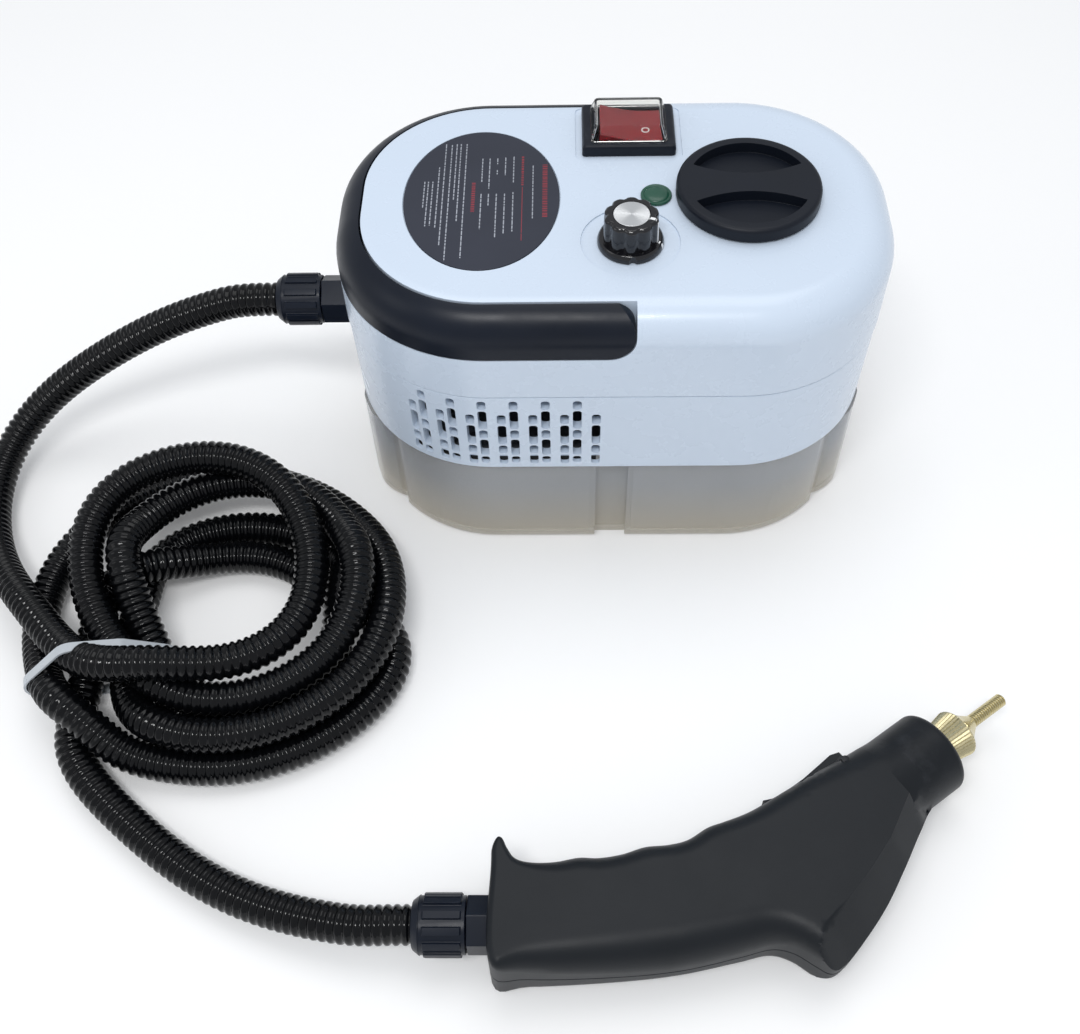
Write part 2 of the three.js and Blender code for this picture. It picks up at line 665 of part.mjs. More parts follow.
function buildSwitchFrame() {
  const plate = stack([
    { outline: switchOutline(SWITCH_LENGTH / 2, SWITCH_DEPTH / 2, 1.2), z: CASE_HEIGHT + GAP - 0.5 },
    { outline: switchOutline(SWITCH_LENGTH / 2, SWITCH_DEPTH / 2, 1.2), z: SWITCH_TOP - 0.8 },
    { outline: switchOutline(SWITCH_LENGTH / 2 - 0.8, SWITCH_DEPTH / 2 - 0.8, 1.2), z: SWITCH_TOP },
  ]);
  const collar = prism(switchOutline(15, 11, 0.8, 2), CASE_HEIGHT - 6, CASE_HEIGHT + 1);
  const opening = prism(switchOutline(13.7, 9.7, 0.5, 2), CASE_HEIGHT - 7, SWITCH_TOP + 1);
  addNode('switch_frame', plate.add(collar).subtract(opening), blackPlastic());
  const contactBlock = prism(switchOutline(14.6, 10.6, 0.5, 2), CASE_HEIGHT - 27, CASE_HEIGHT - 6.4);
  addNode('switch_body', contactBlock, blackPlastic());
}

// Rocker at rest, right end pressed down; its profile is drawn level and then tilted about the pivot.
function buildRocker() {
  const halfWidth = 9.2;
  const level = [
    [-12.3, 8.5], [-12.3, 5], [-8, -2], [8, -2], [12.3, 5], [12.3, 8.5], [6, 7.4], [0, 7], [-6, 7.4],
  ];
  const shape = new THREE.Shape(level.map(([x, z]) => new THREE.Vector2(x, z)));
  const geometry = new THREE.ExtrudeGeometry(shape, { depth: 2 * halfWidth, bevelEnabled: false });
  geometry.translate(0, 0, -halfWidth);
  geometry.rotateX(Math.PI / 2);
  geometry.rotateY(ROCKER_TILT);
  geometry.translate(SWITCH_X, SWITCH_Y, ROCKER_PIVOT_Z);
  addNode('switch_rocker', toSolid(geometry), finish(0x8e1f2a, 0.3));
}

function coverLevels(inset, lift) {
  return [
    { outline: switchOutline(15.4 - inset, 11.6 - inset, 2), z: SWITCH_TOP + GAP - (inset > 0 ? 1 : 0) },
    { outline: switchOutline(14.8 - inset, 11.2 - inset, 2), z: SWITCH_TOP + 3.4 - lift },
    { outline: switchOutline(13.8 - inset, 10.2 - inset, 2), z: SWITCH_TOP + 5.4 - lift },
    { outline: switchOutline(12.6 - inset, 8.8 - inset, 2), z: SWITCH_TOP + 6.2 - lift },
  ];
}

function buildSwitchCover() {
  const wall = 0.9;
  const cover = stack(coverLevels(0, 0)).subtract(stack(coverLevels(wall, wall)));
  addNode('switch_cover', cover, finish(0xc8c8c0, 0.12));
}

// ---------- label ----------
function labelPoint(part, grow) {
  const angle = 2 * Math.PI * part;
  const x = LABEL_X + (LABEL_HALF_LENGTH + grow) * Math.cos(angle);
  const y = (LABEL_HALF_DEPTH + grow) * Math.sin(angle);
  return new THREE.Vector2(x, y);
}

function buildLabel() {
  const steps = 40;
  const outline = [];
  for (let step = 0; step < steps; step += 1) {
    outline.push(labelPoint(step / steps, 0));
  }
  addNode('label_disc', prism(outline, CASE_HEIGHT - 0.35, CASE_HEIGHT + 0.15), finish(0x2b2f3a, 0.5));
}

// ---------- steam works inside the case ----------
const BOILER = { lowX: -90, highX: -12, lowY: -26, highY: 20, low: BOILER_BOTTOM, high: 96 };
const PUMP = { x: 34, y: -44, z: 76, radius: 13 };

function buildBoiler() {
  const x = (BOILER.lowX + BOILER.highX) / 2;
  const y = (BOILER.lowY + BOILER.highY) / 2;
  const halfX = (BOILER.highX - BOILER.lowX) / 2;
  const halfY = (BOILER.highY - BOILER.lowY) / 2;
  const block = prism(movedOutline(roundedOutline(halfX, halfY, 9, 3), x, y), BOILER.low, BOILER.high);
  const grooveEnd = 8;
  const [grooveLow, grooveHigh] = [BOILER.lowX + grooveEnd, BOILER.highX - grooveEnd];
  const heaterGroove = box(grooveLow, grooveHigh, y - 16, y + 16, BOILER.high - 6, BOILER.high + 1);
  addNode('boiler', block.subtract(heaterGroove), aluminium());
  const z = BOILER.high - 3;
  const route = [
    [BOILER.lowX + 12, y - 12, z],
    [BOILER.highX - 28, y - 12, z],
    [BOILER.highX - 14, y, z],
    [BOILER.highX - 28, y + 12, z],
    [BOILER.lowX + 12, y + 12, z],
  ];
  addNode('heating_element', sweep(route, 2.4, 14, 8), steel());
  addNode('thermostat', post(x - 8, y, BOILER.high - 6 + GAP, BOILER.high + 5, 7, 20), greyPlastic());
  const fuse = barX(x - 29, x - 17, y, BOILER.high - 3, 2.2, 12);
  addNode('thermal_fuse', fuse, whitePlastic());
}

function buildPump() {
  const { x, y, z, radius } = PUMP;
  const head = barX(x - 26, x - 6, y, z, 9, 20);
  const port = barX(x - 32, x - 26, y, z, 3, 12);
  const foot = box(x - 24, x - 8, y - 8, y + 8, FLOOR_HEIGHT + WALL + GAP, z);
  const shaft = barX(x - 6, x + 18, y, z, 5, 16);
  addNode('water_pump', union([head, port, foot, shaft]), blackPlastic());
  const coil = barX(x - 5, x + 17, y, z, radius, 24).subtract(barX(x - 6, x + 18, y, z, 5.3, 16));
  addNode('pump_coil', coil, finish(0x8a4a25, 0.4, 0.3));
}

function buildPipes() {
  const floorTop = FLOOR_HEIGHT + WALL;
  const filter = post(SUCTION_X, SUCTION_Y, TANK_WALL + GAP, TANK_WALL + 14, 8, 20);
  addNode('suction_filter', filter, whitePlastic());
  const suction = [
    [SUCTION_X, SUCTION_Y, TANK_WALL + 14 + GAP],
    [SUCTION_X, SUCTION_Y, 40],
    [SUCTION_X, SUCTION_Y, floorTop - 4],
    [SUCTION_X + 1, SUCTION_Y, floorTop + 4],
    [SUCTION_X + 14, SUCTION_Y + 6, 67],
    [-20, 36, 66],
    [0, 10, 65],
    [-4, -30, 66],
    [PUMP.x - 44, PUMP.y, 73],
    [PUMP.x - 33, PUMP.y, PUMP.z],
  ];
  addNode('suction_tube', sweep(suction, 3, 30, 8), clearPlastic());
  const feed = [
    [PUMP.x + 18.6, PUMP.y, PUMP.z],
    [PUMP.x + 22, PUMP.y, PUMP.z],
    [PUMP.x + 27, PUMP.y + 5, PUMP.z + 8],
    [PUMP.x + 16, PUMP.y + 14, 95],
    [20, -20, 98],
    [4, -9, 90],
    [BOILER.highX + 8, -6, 84],
    [BOILER.highX + 4, -6, 84],
    [BOILER.highX + 0.6, -6, 84],
  ];
  addNode('feed_tube', sweep(feed, 2.6, 20, 8), clearPlastic());
  const outlet = barX(-CASE_LENGTH / 2 + 8.6, BOILER.lowX - GAP, GLAND_Y, GLAND_Z, 4, 16);
  addNode('steam_pipe', outlet, brass());
}

function buildControlBoard() {
  addNode('control_board', box(32, 76, 33.5, 35.5, FLOOR_HEIGHT + WALL + GAP, 96), finish(0x2f5d3a, 0.5));
}

// ---------- hose glands ----------
// A ribbed clamping nut along X; the narrow cone end faces -X.
function glandNut(lowX, y, z) {
  const cone = barX(lowX - 2.6, lowX, y, z, NUT_RADIUS - 2.6, 24, NUT_RADIUS - 0.6);
  const barrel = barX(lowX, lowX + NUT_LENGTH, y, z, NUT_RADIUS - 0.9, 24);
  const ribs = [];
  for (let rib = 0; rib < NUT_RIBS; rib += 1) {
    const geometry = new THREE.BoxGeometry(NUT_LENGTH - 3, 2.6, 2);
    geometry.translate(lowX + NUT_LENGTH / 2, 0, NUT_RADIUS - 1);
    geometry.rotateX((2 * Math.PI * rib) / NUT_RIBS);
    geometry.translate(0, y, z);
    ribs.push(toSolid(geometry));
  }
  return union([cone, barrel, ...ribs]);
}

function hexBar(lowX, highX, y, z, radius) {
  return barX(lowX, highX, y, z, radius, 6);
}

const MACHINE_NUT_X = -CASE_LENGTH / 2 - 29;
const GUN_NUT_X = GRIP_END_X - 8.5 - NUT_LENGTH;

function buildMachineGland() {
  const wallX = -CASE_LENGTH / 2;
  addNode('machine_gland_nut', glandNut(MACHINE_NUT_X, GLAND_Y, GLAND_Z), blackPlastic());
  const flange = hexBar(MACHINE_NUT_X + NUT_LENGTH + GAP, wallX - 0.5, GLAND_Y, GLAND_Z, NUT_RADIUS - 0.6);
  const thread = barX(wallX - 1, wallX + 8, GLAND_Y, GLAND_Z, GLAND_HOLE - GAP, 20);
  addNode('machine_gland_body', flange.add(thread), blackPlastic());
}

function buildMainsGland() {
  const wallY = CASE_DEPTH / 2;
  const collar = barY(MAINS_X, wallY + GAP, wallY + 5, MAINS_Z, 9, 24);
  const boot = barY(MAINS_X, wallY + 4, wallY + 14, MAINS_Z, 5.4, 20);
  const thread = barY(MAINS_X, wallY - 7, wallY + 1, MAINS_Z, GLAND_HOLE - GAP, 20);
  const bore = barY(MAINS_X, wallY + 2, wallY + 15, MAINS_Z, 3.4, 16);
  addNode('mains_cord_gland', union([collar, boot, thread]).subtract(bore), blackPlastic());
}

// ---------- hose ----------
function buildHoseLead() {
  const route = [
    [MACHINE_NUT_X - 3, GLAND_Y, GLAND_Z],
    [MACHINE_NUT_X - 9, GLAND_Y, GLAND_Z],
    [-157, 5, 76.8],
    [-180, 6, 69.5],
    [-202, 3.5, 59],
    [-223, 0, 47],
    [-242, -2.5, 35],
    [-258, -8, 23.5],
    [-269, -20, 14],
    [-273, -39, 8.6],
    [-270, -58, 7.3],
    [-262, -78, 7.3],
    [-249.5, -96, 7.3],
  ];
  addNode('hose_lead', sweep(route, HOSE_RADIUS - 0.1, 18, 10), blackPlastic());
}

function buildHoseCoil() {
  const soft = 7;
  const corner = soft * (1 - Math.SQRT1_2);
  const profile = [
    [COIL_INNER + soft, COIL_BOTTOM],
    [COIL_OUTER - soft, COIL_BOTTOM],
    [COIL_OUTER - corner, COIL_BOTTOM + corner],
    [COIL_OUTER, COIL_BOTTOM + soft],
    [COIL_OUTER, COIL_TOP - soft],
    [COIL_OUTER - corner, COIL_TOP - corner],
    [COIL_OUTER - soft, COIL_TOP],
    [COIL_INNER + soft, COIL_TOP],
    [COIL_INNER, COIL_TOP - soft],
    [COIL_INNER, COIL_BOTTOM + soft],
    [COIL_INNER + soft, COIL_BOTTOM],
  ];
  addNode('hose_coil', turned(COIL_X, COIL_Y, profile, 40), blackPlastic());
}

function buildHoseTail() {
  const route = [
    [-182.5, -195.5, 7.3],
    [-166, -209, 7.3],
    [-148, -221, 7.6],
    [-126, -230, 9.4],
    [-102, -236.2, 13.4],
    [GUN_NUT_X - 10, GRIP_Y, GUN_Z],
    [GUN_NUT_X - 3, GRIP_Y, GUN_Z],
  ];
  addNode('hose_tail', sweep(route, HOSE_RADIUS - 0.1, 9, 10), blackPlastic());
}

// A closed strap round the coil's section, with its square head on top.
function buildCableTie() {
  const halfSpan = (COIL_OUTER - COIL_INNER) / 2 + GAP;
  const middle = (COIL_OUTER + COIL_INNER) / 2;
  const low = COIL_BOTTOM - GAP;
  const high = COIL_TOP + GAP;
  const halfWidth = TIE_WIDTH / 2;
  const grow = TIE_THICKNESS;
  const outside = new THREE.BoxGeometry(2 * (halfSpan + grow), TIE_WIDTH, high - low + 2 * grow);
  outside.translate(middle, 0, (low + high) / 2);
  const inside = new THREE.BoxGeometry(2 * halfSpan, 2 * halfWidth + 2, high - low);
  inside.translate(middle, 0, (low + high) / 2);
  const head = new THREE.BoxGeometry(5.5, 5, 4);
  head.translate(middle - halfSpan + 4, 0, high + 2.1);
  const solids = [outside, inside, head].map((geometry) => {
    geometry.rotateZ(TIE_ANGLE);
    geometry.translate(COIL_X, COIL_Y, 0);
    return toSolid(geometry);
  });
  addNode('cable_tie', solids[0].add(solids[2]).subtract(solids[1]), finish(0xdfe3e6, 0.4));
}

// ---------- steam gun, lying on its side ----------
const GUN_OUTLINE = [
  [GRIP_END_X, -252.5], [GRIP_END_X, -220.5], [-23, -218.4], [-1, -216], [22, -211], [36, -204.6],
  [50, -197.2], [84, -176], [98, -172], [110, -190], [103.5, -203], [91, -224], [76, -240], [60, -246],
  [50, -245.6], [40, -247.6], [19, -252.4], [-4, -254.6], [-32, -255.4],
];
const HORN_OUTLINE = [
  [92, -212], [88, -229.5], [70.5, -253], [66.5, -253.4], [56, -246], [62, -232], [76, -220],
];
const FIN_OUTLINE = [[-45, -230], [-45, -219], [-44, -211], [-41.8, -212], [-38, -218], [-30, -226]];

// A slab of the given plan, lying level about the gun's middle height, with rounded edges.
function roundedSlab(points, halfThickness, edge, inset = 0) {
  const shape = new THREE.Shape(points.map(([x, y]) => new THREE.Vector2(x, y)));
  const depth = 2 * (halfThickness - edge);
  const settings = {
    depth,
    steps: 1,
    bevelEnabled: true,
    bevelThickness: edge,
    bevelSize: edge,
    bevelOffset: -edge - inset,
    bevelSegments: 3,
  };
  const geometry = new THREE.ExtrudeGeometry(shape, settings);
  geometry.translate(0, 0, GUN_Z - depth / 2);
  return toSolid(geometry);
}

// A cylinder on the barrel's axis, from one distance behind the barrel's end to another.
function barrelBar(back, front, radius, sides = 32, frontRadius = radius) {
  const geometry = new THREE.CylinderGeometry(frontRadius, radius, front - back, sides);
  geometry.rotateZ(-Math.PI / 2);
  geometry.translate((front + back) / 2, 0, 0);
  geometry.rotateZ(BARREL_ANGLE);
  geometry.translate(BARREL_END.x, BARREL_END.y, GUN_Z);
  return toSolid(geometry);
}

// A block in the trigger's own directions: along its edge, outwards from it, and up.
function triggerBlock(lowAlong, highAlong, lowOut, highOut, halfHeight) {
  const geometry = new THREE.BoxGeometry(highAlong - lowAlong, highOut - lowOut, 2 * halfHeight);
  geometry.translate((lowAlong + highAlong) / 2, (lowOut + highOut) / 2, 0);
  geometry.rotateZ(TRIGGER_ANGLE);
  geometry.translate(TRIGGER_START.x, TRIGGER_START.y, GUN_Z);
  return toSolid(geometry);
}

function triggerPlace(along, out) {
  const x = TRIGGER_START.x + along * Math.cos(TRIGGER_ANGLE) - out * Math.sin(TRIGGER_ANGLE);
  const y = TRIGGER_START.y + along * Math.sin(TRIGGER_ANGLE) + out * Math.cos(TRIGGER_ANGLE);
  return [x, y];
}

const TRIGGER_PIN_INSET = 3.3;
const SPRING_HEIGHT = 3;
const GUN_SCREWS = [[-20, -227], [88, -206]];

function buildGunShells() {
  const barrelBack = -BARREL_LENGTH;
  const barrelFront = -COLLAR_LENGTH - GAP;
  const outside = union([
    roundedSlab(GUN_OUTLINE, GUN_HALF_THICKNESS, 9),
    roundedSlab(HORN_OUTLINE, 9, 2.5),
    roundedSlab(FIN_OUTLINE, 12, 1),
    barrelBar(barrelBack, barrelFront, BARREL_RADIUS),
  ]);
  const inside = union([
    roundedSlab(GUN_OUTLINE, GUN_HALF_THICKNESS - GUN_WALL, 6.5, GUN_WALL),
    barrelBar(barrelBack, barrelFront + 1, BARREL_RADIUS - GUN_WALL),
  ]);
  const bosses = GUN_SCREWS.map(([x, y]) => post(x, y, 2, 2 * GUN_Z - 2, 3.4, 12));
  const hollow = union([outside.subtract(inside), ...bosses]);
  const inletHole = barX(GRIP_END_X - 2, GRIP_END_X + 8, GRIP_Y, GUN_Z, 6.6, 20);
  const slot = triggerBlock(1.4, 39.4, -9.5, 20, TRIGGER_HALF_WIDTH + 0.5);
  const [pinX, pinY] = triggerPlace(TRIGGER_PIVOT.x, TRIGGER_PIVOT.y);
  const pinHole = post(pinX, pinY, TRIGGER_PIN_INSET - GAP, 2 * GUN_Z - TRIGGER_PIN_INSET + GAP, 1.75, 16);
  const springTop = GUN_Z + TRIGGER_HALF_WIDTH + SPRING_HEIGHT + 3 * GAP;
  const springPocket = post(pinX, pinY, GUN_Z, springTop, 3.3, 16);
  const legPocket = box(pinX - 9.5, pinX, pinY - 3.2, pinY - 1.4, GUN_Z + TRIGGER_HALF_WIDTH, springTop);
  const pastCollar = barrelBar(barrelFront, 40, 60);
  const screwHoles = GUN_SCREWS.map(([x, y]) => post(x, y, -1, GUN_Z + 9, 1.6, 10));
  const headHoles = GUN_SCREWS.map(([x, y]) => post(x, y, -1, 4, 2.9, 12));
  const pockets = [inletHole, slot, pinHole, springPocket, legPocket, pastCollar];
  const shell = cut(hollow, [...pockets, ...screwHoles, ...headHoles]);
  const far = 400;
  const lower = shell.intersect(box(-far, far, -far, far, -1, GUN_Z - GAP / 2));
  const upper = shell.intersect(box(-far, far, -far, far, GUN_Z + GAP / 2, far));
  addNode('gun_shell_right', lower, blackPlastic());
  addNode('gun_shell_left', upper, blackPlastic());
}

function buildGunScrews() {
  GUN_SCREWS.forEach(([x, y], place) => {
    const head = post(x, y, 1.6, 3.7, 2.6, 12);
    const shank = post(x, y, 3, GUN_Z + 8, 1.25, 10);
    addNode(`gun_screw_${place + 1}`, head.add(shank), steel());
  });
}

function buildBarrel() {
  const collar = barrelBar(-COLLAR_LENGTH, -1.6, BARREL_RADIUS).add(
    barrelBar(-1.7, 0, BARREL_RADIUS, 32, BARREL_RADIUS - 1.6),
  );
  const bore = barrelBar(-COLLAR_LENGTH - 1, 1, 5.5, 20);
  addNode('barrel_collar', collar.subtract(bore), blackPlastic());
  const direction = new THREE.Vector2(Math.cos(BARREL_ANGLE), Math.sin(BARREL_ANGLE));
  const onAxis = (back) => [BARREL_END.x - back * direction.x, BARREL_END.y - back * direction.y, GUN_Z];
  const route = [
    [GRIP_END_X + 8.6, GRIP_Y, GUN_Z],
    [GRIP_END_X + 13, GRIP_Y, GUN_Z],
    [-10, GRIP_Y - 2, GUN_Z],
    [30, -234, GUN_Z],
    [56, -230, GUN_Z],
    [74, -214, GUN_Z],
    onAxis(35),
    onAxis(26),
    onAxis(15),
  ];
  addNode('steam_tube', sweep(route, 3.2, 22, 8), brass());
}

// Lever with a finger-wide face; it turns about a pin near the barrel.
function buildTrigger() {
  const plan = [
    [2.6, 0.6], [6, -0.6], [12, -0.9], [20, -0.4], [28, 0.8], [34, 1.8], [37.6, 1],
    [38, -3], [37, -6], [33, -6.6], [20, -6.2], [6, -6.6], [2.8, -5.4],
  ];
  const points = plan.map(([along, out]) => new THREE.Vector2(...triggerPlace(along, out + 1.2))).reverse();
  const outline = THREE.ShapeUtils.isClockWise(points) ? points.reverse() : points;
  const lever = prism(outline, GUN_Z - TRIGGER_HALF_WIDTH, GUN_Z + TRIGGER_HALF_WIDTH);
  const [pinX, pinY] = triggerPlace(TRIGGER_PIVOT.x, TRIGGER_PIVOT.y);
  const bore = post(pinX, pinY, 0, 2 * GUN_Z, 1.75, 16);
  addNode('trigger', lever.subtract(bore), blackPlastic());
  const pin = post(pinX, pinY, TRIGGER_PIN_INSET, 2 * GUN_Z - TRIGGER_PIN_INSET, 1.45, 16);
  addNode('trigger_pin', pin, steel());
  const ringLow = GUN_Z + TRIGGER_HALF_WIDTH + GAP;
  const ring = post(pinX, pinY, ringLow, ringLow + SPRING_HEIGHT, 2.8, 16);
  const leg = box(pinX - 9, pinX, pinY - 2.7, pinY - 1.9, ringLow + 0.6, ringLow + 1.4);
  addNode('trigger_spring', ring.add(leg).subtract(post(pinX, pinY, 0, 2 * GUN_Z, 1.8, 16)), steel());
  addNode('steam_switch', triggerBlock(3, 13, -16.4, -10.6, 4), finish(0x2a2d33, 0.5));
}

function buildNozzle() {
  const knurlRadius = 9.2;
  const nut = barrelBar(1.2, 12, knurlRadius - 1.6, 24, knurlRadius);
  const cone = barrelBar(11.9, 19, knurlRadius, 24, 4);
  const tip = barrelBar(18.9, 36, 2.5, 12);
  const stem = barrelBar(-12, 1.3, 5, 20);
  const solid = cut(union([nut, cone, tip, stem]), [barrelBar(-13, 37, 1.2, 10)]);
  addNode('nozzle', solid, brass());
  const seal = barrelBar(0.3, 0.9, 7.2, 24).subtract(barrelBar(0, 2, 5.3, 20));
  addNode('nozzle_seal', seal, blackRubber());
}

function buildGunGland() {
  addNode('gun_gland_nut', glandNut(GUN_NUT_X, GRIP_Y, GUN_Z), blackPlastic());
  const flange = hexBar(GUN_NUT_X + NUT_LENGTH + GAP, GRIP_END_X - 0.3, GRIP_Y, GUN_Z, NUT_RADIUS - 0.6);
  const thread = barX(GRIP_END_X - 1, GRIP_END_X + 8, GRIP_Y, GUN_Z, 6.3, 20);
  addNode('gun_gland_body', flange.add(thread), blackPlastic());
}

// ---------- assembly ----------
buildTank();
buildTankSeal();
buildLowerShell();
buildUpperShell();
buildCaseScrews();
buildHandle();
buildHandlePins();
buildFillerTube();
buildFillerCap();
buildCapSeal();
buildKnob();
buildPotentiometer();
buildIndicator();
buildSwitchFrame();
buildRocker();
buildSwitchCover();
buildLabel();
buildBoiler();
buildPump();
buildPipes();
buildControlBoard();
buildMachineGland();
buildMainsGland();
buildHoseLead();
buildHoseCoil();
buildHoseTail();
buildCableTie();
buildGunShells();
buildGunScrews();
buildBarrel();
buildTrigger();
buildNozzle();
buildGunGland();

export default assembly;
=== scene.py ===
"""Looks of a portable steam cleaner: case, see-through tank, tied hose and a steam gun on the floor."""

import math
import random

import bmesh
import bpy
import numpy as np
from mathutils import Matrix, Vector
from mathutils.geometry import delaunay_2d_cdt


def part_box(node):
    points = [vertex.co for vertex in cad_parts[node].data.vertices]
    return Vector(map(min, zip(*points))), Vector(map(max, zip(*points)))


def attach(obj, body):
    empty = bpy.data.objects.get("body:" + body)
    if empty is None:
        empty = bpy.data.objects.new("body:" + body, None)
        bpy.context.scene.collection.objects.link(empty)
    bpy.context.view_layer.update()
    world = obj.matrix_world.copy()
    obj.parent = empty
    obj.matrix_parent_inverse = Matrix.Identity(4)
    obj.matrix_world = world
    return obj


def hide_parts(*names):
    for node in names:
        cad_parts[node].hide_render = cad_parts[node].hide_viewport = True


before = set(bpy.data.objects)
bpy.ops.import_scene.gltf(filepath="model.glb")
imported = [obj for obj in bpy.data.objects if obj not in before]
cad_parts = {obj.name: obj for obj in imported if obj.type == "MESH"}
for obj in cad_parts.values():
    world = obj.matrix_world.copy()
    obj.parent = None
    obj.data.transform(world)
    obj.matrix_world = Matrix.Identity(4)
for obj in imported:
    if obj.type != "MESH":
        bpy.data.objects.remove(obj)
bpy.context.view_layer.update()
scene = bpy.context.scene
MM = 0.001


# ---------- driving values, read from the frame where it has them ----------
def middle(node):
    low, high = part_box(node)
    return (low + high) / 2


upper_low, upper_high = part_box("upper_shell")
lower_low, lower_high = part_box("lower_shell")
HALF_X = upper_high.x
HALF_Y = upper_high.y
DECK = upper_high.z
SEAM_TOP = upper_low.z
SEAM_BOTTOM = lower_high.z
LIP = lower_low.z
CORNER = 58 * MM
EDGE = 14 * MM
WALL = 2.6 * MM
CORNER_STEPS = 22

KNOB = middle("knob")
SWITCH = middle("switch_frame")
CAP = middle("filler_cap")
LAMP = middle("indicator_lens")
LABEL = middle("label_disc")
HOSE_RADIUS = 7 * MM
RIB_PITCH = 3.2 * MM


# ---------- camera ----------
def make_camera():
    data = bpy.data.cameras.new("camera")
    data.sensor_width = 36
    data.lens = 42.3
    data.clip_start = 0.01
    data.clip_end = 20
    camera = bpy.data.objects.new("camera", data)
    pitch, yaw, roll = (math.radians(angle) for angle in (54, 2.09, -2))
    ahead = math.cos(pitch)
    forward = Vector((-math.sin(yaw) * ahead, math.cos(yaw) * ahead, -math.sin(pitch)))
    level = Vector((math.cos(yaw), math.sin(yaw), 0))
    upright = level.cross(forward)
    right = math.cos(roll) * level + math.sin(roll) * upright
    up = math.cos(roll) * upright - math.sin(roll) * level
    placed = Matrix((right, up, -forward)).transposed().to_4x4()
    placed.translation = Vector((-18.2, -379.6, 451.2)) * MM
    camera.matrix_world = placed
    scene.collection.objects.link(camera)
    scene.camera = camera


make_camera()


# ---------- mesh helpers ----------
def mesh_object(name, vertices, faces):
    mesh = bpy.data.meshes.new(name)
    mesh.from_pydata([tuple(v) for v in vertices], [], faces)
    mesh.update()
    obj = bpy.data.objects.new(name, mesh)
    scene.collection.objects.link(obj)
    return obj


def tidy(obj, distance=0.01 * MM, loose=False):
    """Merges doubled points and turns every face outwards; may first delete points without faces."""
    work = bmesh.new()
    work.from_mesh(obj.data)
    if loose:
        bmesh.ops.delete(work, geom=[v for v in work.verts if not v.link_faces], context="VERTS")
    bmesh.ops.remove_doubles(work, verts=work.verts, dist=distance)
    bmesh.ops.dissolve_degenerate(work, edges=work.edges, dist=distance / 2)
    bmesh.ops.recalc_face_normals(work, faces=work.faces)
    work.to_mesh(obj.data)
    work.free()
    return obj


def loft(name, rings, cap_ends=True):
    """A closed skin through rings of equal point counts; each ring is a list of 3-D points."""
    count = len(rings[0])
    vertices = [point for ring in rings for point in ring]
    faces = []
    for level in range(len(rings) - 1):
        for step in range(count):
            here = level * count + step
            there = level * count + (step + 1) % count
            faces.append((here, there, there + count, here + count))
    if cap_ends:
        last = (len(rings) - 1) * count
        faces.append(tuple(reversed(range(count))))
        faces.append(tuple(range(last, last + count)))
    return mesh_object(name, vertices, faces)


def millimetres(points):
    return [tuple(value * MM for value in point) for point in points]


def quarter(steps, first=0):
    """Sines and cosines round a quarter turn."""
    angles = [math.pi / 2 * step / steps for step in range(first, steps + 1)]
    return [(math.sin(angle), math.cos(angle)) for angle in angles]


def stack(name, levels):
    """An upright skin through (outline, height) levels."""
    return loft(name, [[(x, y, z) for x, y in outline] for outline, z in levels])


def prism(name, outline, low, high):
    return stack(name, [(outline, low), (outline, high)])


def rounded_outline(half_x, half_y, radius, steps=CORNER_STEPS, centre=(0, 0)):
    corner = max(0.02 * MM, min(radius, half_x - 0.01 * MM, half_y - 0.01 * MM))
    points = []
    for number, (side_x, side_y) in enumerate(((1, 1), (-1, 1), (-1, -1), (1, -1))):
        for step in range(steps + 1):
            angle = math.pi / 2 * (number + step / steps)
            x = centre[0] + side_x * (half_x - corner) + corner * math.cos(angle)
            y = centre[1] + side_y * (half_y - corner) + corner * math.sin(angle)
            points.append((x, y))
    return points


def case_outline(inset):
    return rounded_outline(HALF_X - inset, HALF_Y - inset, CORNER - inset)


def box(name, low, high):
    outline = [(low[0], low[1]), (high[0], low[1]), (high[0], high[1]), (low[0], high[1])]
    return prism(name, outline, low[2], high[2])


def oval(half_x, half_y, sides, centre=(0, 0)):
    turns = np.linspace(0, 2 * math.pi, sides, endpoint=False)
    return [(centre[0] + half_x * math.cos(turn), centre[1] + half_y * math.sin(turn)) for turn in turns]


def circle(radius, sides, centre=(0, 0)):
    return oval(radius, radius, sides, centre)


def drum(name, radius, sides, centre, low, high):
    return prism(name, circle(radius, sides, centre), low, high)


def turned(name, profile, sides=72, centre=(0, 0)):
    """A solid turned about an upright axis from [(radius, height)]; a ring where both ends are equal."""
    tiny = 0.001 * MM
    closed = profile[0] == profile[-1]
    points = profile[:-1] if closed else profile
    rings = [[(x, y, z) for x, y in circle(max(r, tiny), sides, centre)] for r, z in points]
    if closed:
        rings.append(rings[0])
    return tidy(loft(name, rings, cap_ends=not closed), 0.004 * MM)


def rod(name, start, end, radius):
    """A cylinder between two points."""
    start, end = Vector(start), Vector(end)
    length = (end - start).length
    piece = turned(name, [(0, 0), (radius, 0), (radius, length), (0, length)], 32)
    piece.data.transform((end - start).to_track_quat("Z", "Y").to_matrix().to_4x4())
    piece.data.transform(Matrix.Translation(start))
    return piece


def bake(obj):
    """Makes the modifiers' result the object's own mesh."""
    bpy.context.view_layer.update()
    graph = bpy.context.evaluated_depsgraph_get()
    mesh = bpy.data.meshes.new_from_object(obj.evaluated_get(graph))
    obj.modifiers.clear()
    obj.data = mesh
    return obj


def combine(target, others, operation="DIFFERENCE"):
    for other in others:
        modifier = target.modifiers.new(operation.lower(), "BOOLEAN")
        modifier.operation = operation
        modifier.solver = "EXACT"
        modifier.object = other
    bake(target)
    for other in others:
        bpy.data.objects.remove(other)
    return target


